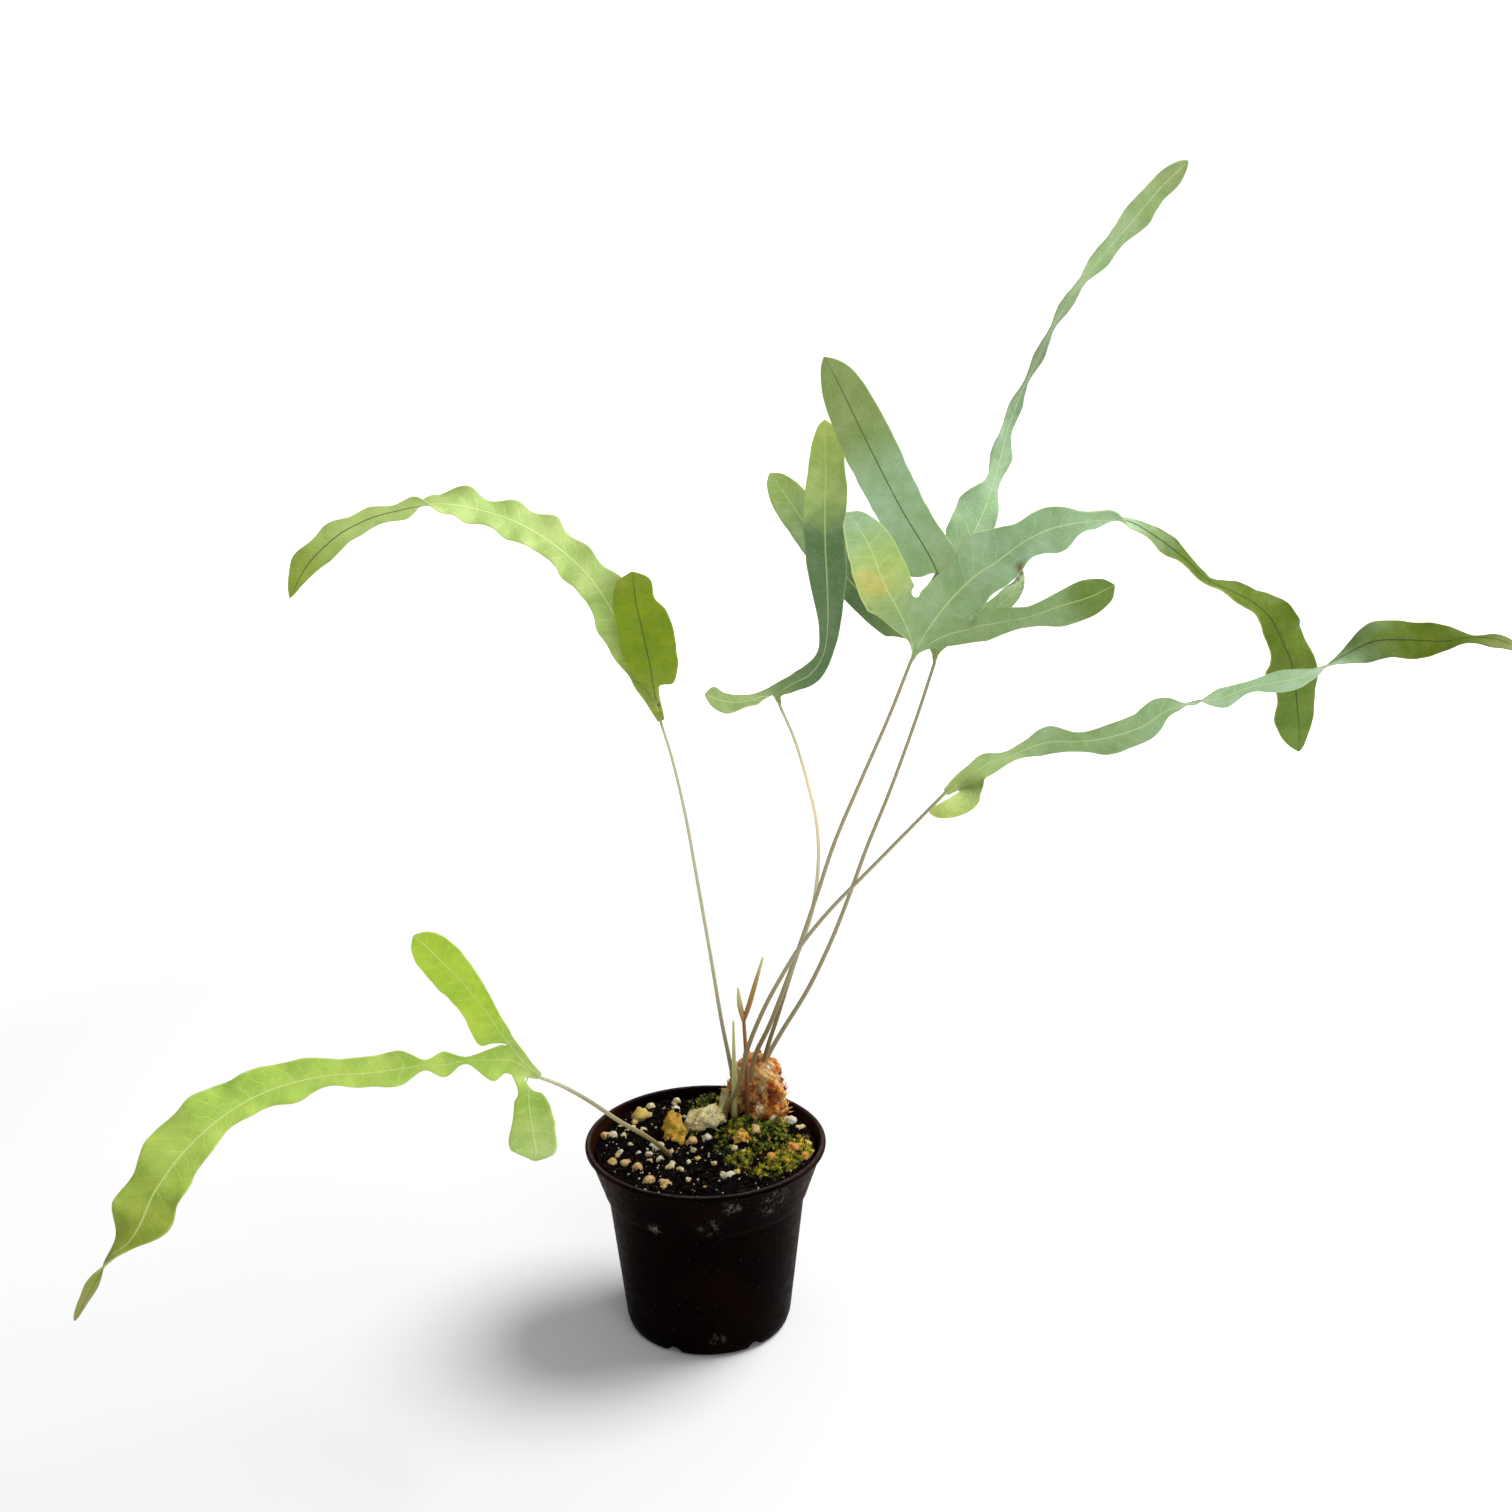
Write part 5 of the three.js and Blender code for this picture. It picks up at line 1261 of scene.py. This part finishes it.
    },
    "frond_right": {
        "slot": "frond_blue_green",
        "stalk": [
            (7.5, 20.5, 64), (8, 20, 77), (12.5, 16, 87), (16.5, 10, 106.5), (22, 2, 125),
            (28, -6, 141), (36, -15, 159), (46, -24, 176), (58, -33, 193), (70, -41, 209.5),
            (82.5, -48, 226),
        ],
        "stalkRadii": [1.2, 1.05, 0.9, 0.75, 0.65],
        "stalkTints": [(0, "brown"), (0.15, "tan"), (0.5, "grey"), (1, "grey")],
        # near its tip the blade turns over and shows its underside: olive green darkened with
        # painted shade
        "tints": [
            (0, "pale"), (0.2, "dusty"), (0.62, "blue"), (0.8, "dark"), (0.92, "dark"),
            (1, "straw"),
        ],
        "steps": 56,
        "wave": waves(20, 1.2, 0.05),
        "midrib": [
            (82.5, -48, 226, 1.2, 1.2, 0), (86.5, -49, 229.5, 2.5, 2.5, 10),
            (91.5, -50, 233.5, 4, 5, 35), (96.5, -51, 237.5, 5.6, 5.6, 55),
            (102.5, -52, 239.5, 4.4, 4.4, 55), (108.5, -53, 242.5, 3.4, 4.3, 40),
            (116, -54, 245, 5.6, 4.2, 25), (125, -56, 245.5, 3.3, 4, 20),
            (135, -58, 247.5, 4.3, 5.7, 20), (145, -60, 251.5, 5.4, 5.9, 20),
            (152.5, -62, 257.5, 6.5, 2.5, 40), (161, -63, 260, 5, 5, 90),
            (169.5, -64, 262, 5.5, 5.5, 60), (178, -65, 265.5, 2.8, 2.8, 40),
            (187.5, -66, 267.5, 4.4, 4.4, 45), (197.5, -67, 270, 5, 5, 60),
            (207.5, -68, 276, 4.5, 4.5, 120), (216, -70, 281, 7, 7.4, 145),
            (226.5, -73, 282, 6.5, 7.2, 155), (236, -77, 282.5, 4, 6.3, 145),
            (243, -81, 284.5, 3.5, 3.5, 115), (250.5, -85, 284.5, 3.5, 3.5, 130),
            (259, -89, 281, 0.8, 0.8, 140),
        ],
        "lobes": [
            {
                "side": "right", "edge": (1, 4), "steps": 8,
                "tints": [(0, "sage"), (1, "bright")],
                "wave": waves(20, 0.5, 0.03),
                "midrib": [
                    (91, -56, 229.5, 4, 4, 20), (86.5, -62, 227, 4, 4, 30),
                    (80.5, -64, 225.5, 3, 3, 20), (75.5, -62, 224, 1.2, 1.2, 0),
                ],
            },
        ],
    },
    "frond_low": {
        "slot": "frond_yellow_green",
        "stalk": [
            (-12, -6, 64), (-13.5, -9, 73), (-21, -22, 87.5), (-30.5, -34, 100.5),
            (-40, -44, 113.5), (-48.5, -52, 123.5), (-56.5, -58, 130.5),
        ],
        "stalkRadii": [1.05, 0.95, 0.85, 0.7],
        "stalkTints": [(0, "earth"), (0.2, "tan"), (0.75, "grey"), (1, "ash")],
        "tints": [(0, "pale"), (0.1, "lime"), (0.62, "lime"), (0.85, "olive"), (1, "straw")],
        "steps": 46,
        "wave": waves(17, 1.1, 0.05),
        "midrib": [
            (-56, -58, 130.5, 1.2, 1.2, 0), (-60, -60, 134.5, 3, 3, 0),
            (-65.5, -63, 139.5, 5, 6, 0), (-71.5, -66, 141, 6.5, 4, 0),
            (-79.5, -69, 142.5, 1.2, 1.2, 0), (-86.5, -72, 142.5, 3.8, 4.8, 0),
            (-92.5, -75, 144, 1.8, 1.8, 0), (-100, -78, 144.5, 5.1, 6.1, 0),
            (-110.5, -82, 145, 4.8, 5.4, 5), (-121.5, -87, 147, 3.4, 5.7, 5),
            (-133.5, -92, 147, 6.2, 7.4, 5), (-145, -98, 145, 4.8, 8.5, 0),
            (-155.5, -105, 140.5, 4.9, 10.5, 0), (-165, -112, 133.5, 7.3, 11.2, 5),
            (-172.5, -120, 125, 8.9, 9.6, 8), (-176, -127, 118, 8.9, 9.7, 5),
            (-179.5, -131, 113, 3, 6.8, 30), (-185, -134, 109.5, 2, 2, 70),
            (-190.5, -137, 101.5, 3.6, 2.8, 115), (-196.5, -139, 91, 0.8, 0.8, 120),
        ],
        "lobes": [
            {
                "side": "right", "edge": (1, 4), "steps": 16,
                "tints": [(0, "fresh")],
                "wave": waves(50, 0.5, 0.02),
                "midrib": [
                    (-68, -66, 152, 8.5, 3, 0), (-73.5, -70, 163.5, 7.1, 4.3, 0),
                    (-79.5, -74, 174.5, 7.4, 5.9, 0), (-85, -77, 182.5, 6.7, 7, 0),
                    (-89, -79, 188.5, 5.5, 5.8, 0), (-92.5, -80, 192.5, 2, 2, 0),
                ],
            },
            {
                "side": "left", "edge": (1, 3), "steps": 12,
                "tints": [(0, "lime"), (1, "pale")],
                "wave": waves(50, 0.5, 0.02),
                "midrib": [
                    (-60.5, -66, 129, 4.9, 4.2, 0), (-58.5, -74, 124.5, 7.4, 6.2, 0),
                    (-57, -82, 120.5, 7.8, 8.5, 0), (-56, -87, 117.5, 6.8, 7.4, 0),
                    (-56.5, -89, 115, 3, 3, 0),
                ],
            },
        ],
    },
}
blade = {
    "fine": 4, "columns": 16, "thickness": 0.6, "relax": 60, "ripple": 0.55, "outline": 0.05,
    "tip": 2.0, "light": 1.15, "ribSide": 0.28, "ribRadius": (0.3, 0.08),
    "lobeRibRadius": (0.15, 0.06), "ribBend": 0.36, "ribTint": (58, 76, 26), "stalkLight": 1.12,
    "stalkWidth": 0.88,
}
frontward = Vector((0, -0.95, 0.31)).normalized()


# the way across and the way out of a blade at each row of its midrib
def bladeFrames(rows):
    frames = []
    for i, row in enumerate(rows):
        before = Vector(rows[max(0, i - blade["fine"])][:3])
        after = Vector(rows[min(len(rows) - 1, i + blade["fine"])][:3])
        along = (after - before).normalized()
        face = (frontward - along * frontward.dot(along)).normalized()
        side = along.cross(face)
        turn = math.radians(row[5])
        frames.append((side * math.cos(turn) - face * math.sin(turn),
                       face * math.cos(turn) + side * math.sin(turn)))
    return frames


# the points of a blade: its plan, its cut and lifted edge waves, and a finer ripple at the rim
def wavedPoints(rows, length, columns, wave, seed):
    steps = len(rows) - 1
    lines, shape = [], []
    for i, (row, (across, out)) in enumerate(zip(rows, bladeFrames(rows))):
        u = length * i / steps
        ends = min(1, u / 18) * min(1, (length - u) / 12)
        tip = max(0.1, math.sqrt(min(1, max(0, length - u) / blade["tip"])))
        line, facts = [], []
        for j in range(columns + 1):
            s = 2 * j / columns - 1
            half = max(0.3, row[3] if s < 0 else row[4]) * tip
            k = 2 * math.pi * (u / wave["length"] + (wave["left"] if s < 0 else wave["right"]))
            near = noise.noise(Vector((u * 0.2, math.copysign(4, s), seed)))
            frill = noise.noise(Vector((u * 0.31, math.copysign(9, s), seed)))
            cut = wave["cut"] * math.sin(k + 0.6) + blade["outline"] * near
            reach = s * half * (1 + cut * ends)
            size = min(1.2, max(0.3, half / 8))
            lift = wave["lift"] * math.sin(k) * abs(s) ** 1.6 * ends * size
            lift += blade["ripple"] * frill * abs(s) ** 2.6 * ends * size
            puff = 0.22 * noise.noise(Vector((u * 0.13, s * 1.4, seed + 20))) * (1 - s * s) * size
            cup = 0.06 * half * s * s
            line.append(Vector(row[:3]) + across * reach + out * (lift + cup + puff))
            facts.append((s * half, u, half * (1 - abs(s)), half))
        lines.append(line)
        shape.append(facts)
    return lines, shape


# sets a grid of vertices on the points, with its UV map, its tints and the facts the pattern needs
def setStrip(bm, grid, points, shape, strip, layers, lobe):
    uvLayer, tintLayer, formLayer, marginLayer = layers
    at = {}
    steps = len(grid) - 1
    stops = toned(strip["tints"])
    for i, line in enumerate(grid):
        for j, vert in enumerate(line):
            across, u, toRim, half = shape[i][j]
            vert.co = points[i][j]
            at[vert] = (across, -1 - u if lobe else u)
            vert[formLayer] = (9.0, 0.0, toRim, half)
            vert[marginLayer] = strip.get("margin", (0, 0))[0 if across < 0 else 1]
            drift = 0.035 * noise.noise(vert.co * 0.11) + 0.02 * noise.noise(vert.co * 0.3)
            tint = atStop(stops, i / steps + drift, blade["light"])[:3]
            dryness = 0.0
            for t, s, radius, color, strength, dry in strip.get("spots", ()):
                gap = math.dist((across, u), (s * half, t * shape[-1][j][1])) / radius
                gap += 0.5 * noise.noise(vert.co * 0.3)
                share = strength * (1 - smooth(gap))
                tint = mixed(tint, linear(tones[color]), share)
                dryness = max(dryness, dry * share)
            vert[tintLayer] = (*tint, dryness)
    for face in {face for vert in at for face in vert.link_faces}:
        for loop in face.loops:
            loop[uvLayer].uv = at[loop.vert]


# a side rib leaves the main rib at a slant and runs smoothly on into its lobe's middle line
def sideRibPath(middleLine, foot, center, join):
    start, end = middleLine[foot].co, center[join].co
    straight = end - start
    reach = straight.length * blade["ribBend"]
    ahead = (middleLine[foot + 4].co - start).normalized().lerp(straight.normalized(), 0.4)
    onward = (center[join + 4].co - end).normalized()
    bend = interpolate_bezier(start, start + ahead * reach, end - onward * reach, end, 40)
    return [Vector(p) for p in bend] + [vert.co.copy() for vert in center[join + 1:]]


# tells each vertex near a side rib how far it is from it, and on which side
def markSideRib(path, verts, formLayer):
    fine = []
    for a, b in zip(path, path[1:]):
        fine += [a.lerp(b, k / 4) for k in range(4)]
    tree = KDTree(len(fine))
    for i, spot in enumerate(fine):
        tree.insert(spot, i)
    tree.balance()
    for vert in verts:
        spot, i, gap = tree.find(vert.co)
        here = 1 - smooth((gap - 1.6) / 1.4)
        if i == 0:
            here *= 1 - smooth(gap / 1.2)
        if here <= vert[formLayer][1]:
            continue
        onward = fine[min(len(fine) - 1, i + 2)] - fine[max(0, i - 2)]
        aside = onward.cross(vert.normal).normalized()
        form = vert[formLayer]
        vert[formLayer] = (aside.dot(vert.co - spot), here, form[2], form[3])


def growFrond(name, frond):
    fine = blade["fine"]
    bm = bmesh.new()
    layers = (bm.loops.layers.uv.new("UVMap"), bm.verts.layers.float_color.new("tint"),
              bm.verts.layers.float_color.new("form"), bm.verts.layers.float.new("margin"))
    tintLayer, formLayer, marginLayer = layers[1:]
    seed = len(name) * 1.7 + frond["steps"]
    rows, length = spacedRows(frond["midrib"], frond["steps"] * fine)
    points, shape = wavedPoints(rows, length, blade["columns"], frond["wave"], seed)
    main = sheetGrid(bm, len(rows) - 1, blade["columns"])
    setStrip(bm, main, points, shape, frond, layers, False)
    soft, welds, lobes = set(), {}, []
    middle = blade["columns"] // 2
    for number, lobe in enumerate(frond["lobes"]):
        first, last = [n * fine for n in lobe["edge"]]
        left = lobe["side"] == "left"
        edge = [line[0] if left else line[-1] for line in main[first:last + 1]]
        inner = [vert for line in main[first:last + 1]
                 for vert in (line[1:fine + 1] if left else line[-fine - 1:-1])]
        if not left:
            edge.reverse()
        root = [vert.co.copy() for vert in edge]
        center = sum(root, Vector()) / len(root)
        span = (root[0] - root[-1]).length / 2
        after = lobe["midrib"][0]
        begin = (*center, min(span, after[3] * 1.3), min(span, after[4] * 1.3), after[5])
        rows, length = spacedRows([begin] + lobe["midrib"], lobe["steps"] * fine)
        lobeSeed = seed + 3 + number
        points, lobeShape = wavedPoints(rows, length, len(root) - 1, lobe["wave"], lobeSeed)
        heading = Vector(rows[len(rows) // 4][:3]) - Vector(rows[0][:3])
        start = Vector(rows[fine][:3]) - Vector(rows[0][:3])
        heading = heading.normalized().lerp(start.normalized(), 0.5)
        reach = lobe.get("reach", max(0.25, 12 / length))
        steps = len(rows) - 1
        for i in range(steps + 1):
            t = i / steps
            for j, point in enumerate(points[i]):
                grown = root[j] + heading * t * length * 0.8
                points[i][j] = grown.lerp(point, smooth(t / reach))
        grid = sheetGrid(bm, steps, len(root) - 1)
        setStrip(bm, grid, points, lobeShape, lobe, layers, True)
        for j, vert in enumerate(edge):
            vert[formLayer] = (9.0, 0.0, lobeShape[0][j][2], vert[formLayer][3])
            vert[marginLayer] = 0
            for i in range(int(steps * 0.4)):
                share = smooth(i / (steps * 0.4))
                grid[i][j][tintLayer] = mixed(vert[tintLayer], grid[i][j][tintLayer], share)
            welds[grid[0][j]] = vert
        soft.update(edge, inner, *grid[1:3 * fine + 1])
        nearby = [vert for line in main[max(0, first - 3 * fine):last + fine]
                  for vert in (line[:middle + 2] if left else line[middle - 1:])]
        nearby += [vert for line in grid[1:] for vert in line]
        lobes.append((max(1, first - fine), [line[len(root) // 2] for line in grid[1:]], nearby))
    bmesh.ops.weld_verts(bm, targetmap=welds)
    soft = [vert for vert in soft if vert.is_valid]
    inside = [vert for vert in soft if not vert.is_boundary]
    for k in range(blade["relax"]):
        bmesh.ops.smooth_vert(bm, verts=soft if k % 3 == 0 else inside, factor=0.5,
                              use_axis_x=True, use_axis_y=True, use_axis_z=True)
    bm.normal_update()
    half = len(main) // 2
    out = bladeFrames(spacedRows(frond["midrib"], len(main) - 1)[0])[half][1]
    if main[half][middle].normal.dot(out) < 0:
        bmesh.ops.reverse_faces(bm, faces=bm.faces)
        bm.normal_update()

    # the stalk runs on along the underside as the main rib, and each lobe has its own
    surface = BVHTree.FromBMesh(bm)
    paths = []
    for foot, center, nearby in lobes:
        path = sideRibPath([line[middle] for line in main], foot, center, int(len(center) * 0.42))
        paths.append(path)
        markSideRib(path, [vert for vert in nearby if vert.is_valid], formLayer)
    stalk = bmesh.new()
    stemLine = stemRows(frond["stalk"], [r * blade["stalkWidth"] for r in frond["stalkRadii"]], 72)
    thick, thin = blade["ribRadius"]
    ribLine = []
    for i, line in enumerate(main[2:-4]):
        share = smooth(i / 7)
        below = (blade["ribSide"] + 0.3 * math.sin(share * math.pi)) * share
        spot = line[middle].co - line[middle].normal * below
        radius = thick + (thin - thick) * i / len(main)
        ribLine.append((*spot, stemLine[-1][3] + (radius - stemLine[-1][3]) * share))
    stops = toned(frond["stalkTints"])
    share = len(stemLine) / (len(stemLine) + len(ribLine))
    stops = [(t * (share - 0.008), [c * blade["stalkLight"] for c in color])
             for t, color in stops]
    stops.append((share + 0.004, tones[frond["tints"][0][1]]))
    stops.append((min(1, share + 0.1), blade["ribTint"]))
    addTintedStem(stalk, stemLine + ribLine, 14, stops, 0.16)
    thick, thin = blade["lobeRibRadius"]
    for path in paths:
        line = []
        for i, spot in enumerate(path[:-4:2]):
            near, out = surface.find_nearest(spot)[:2]
            radius = thick + (thin - thick) * 2 * i / len(path)
            line.append((*(near - out * blade["ribSide"]), radius))
        addTintedStem(stalk, line, 8, [(0, blade["ribTint"]), (1, blade["ribTint"])])
    closeUp(stalk, 0.004)
    leaf = addPiece(name + "_blade", bm, [leafUpper, leafUnder], [name])
    wall = leaf.modifiers.new("wall", "SOLIDIFY")
    wall.thickness = blade["thickness"] * mm
    wall.offset = 0
    wall.material_offset = 1
    wall.use_quality_normals = True
    addSubdivision(leaf, 1)
    addPiece(name + "_stalk", stalk, [stalkSkin], [name])
    print(name, "grown")


for name, frond in fronds.items():
    growFrond(name, frond)
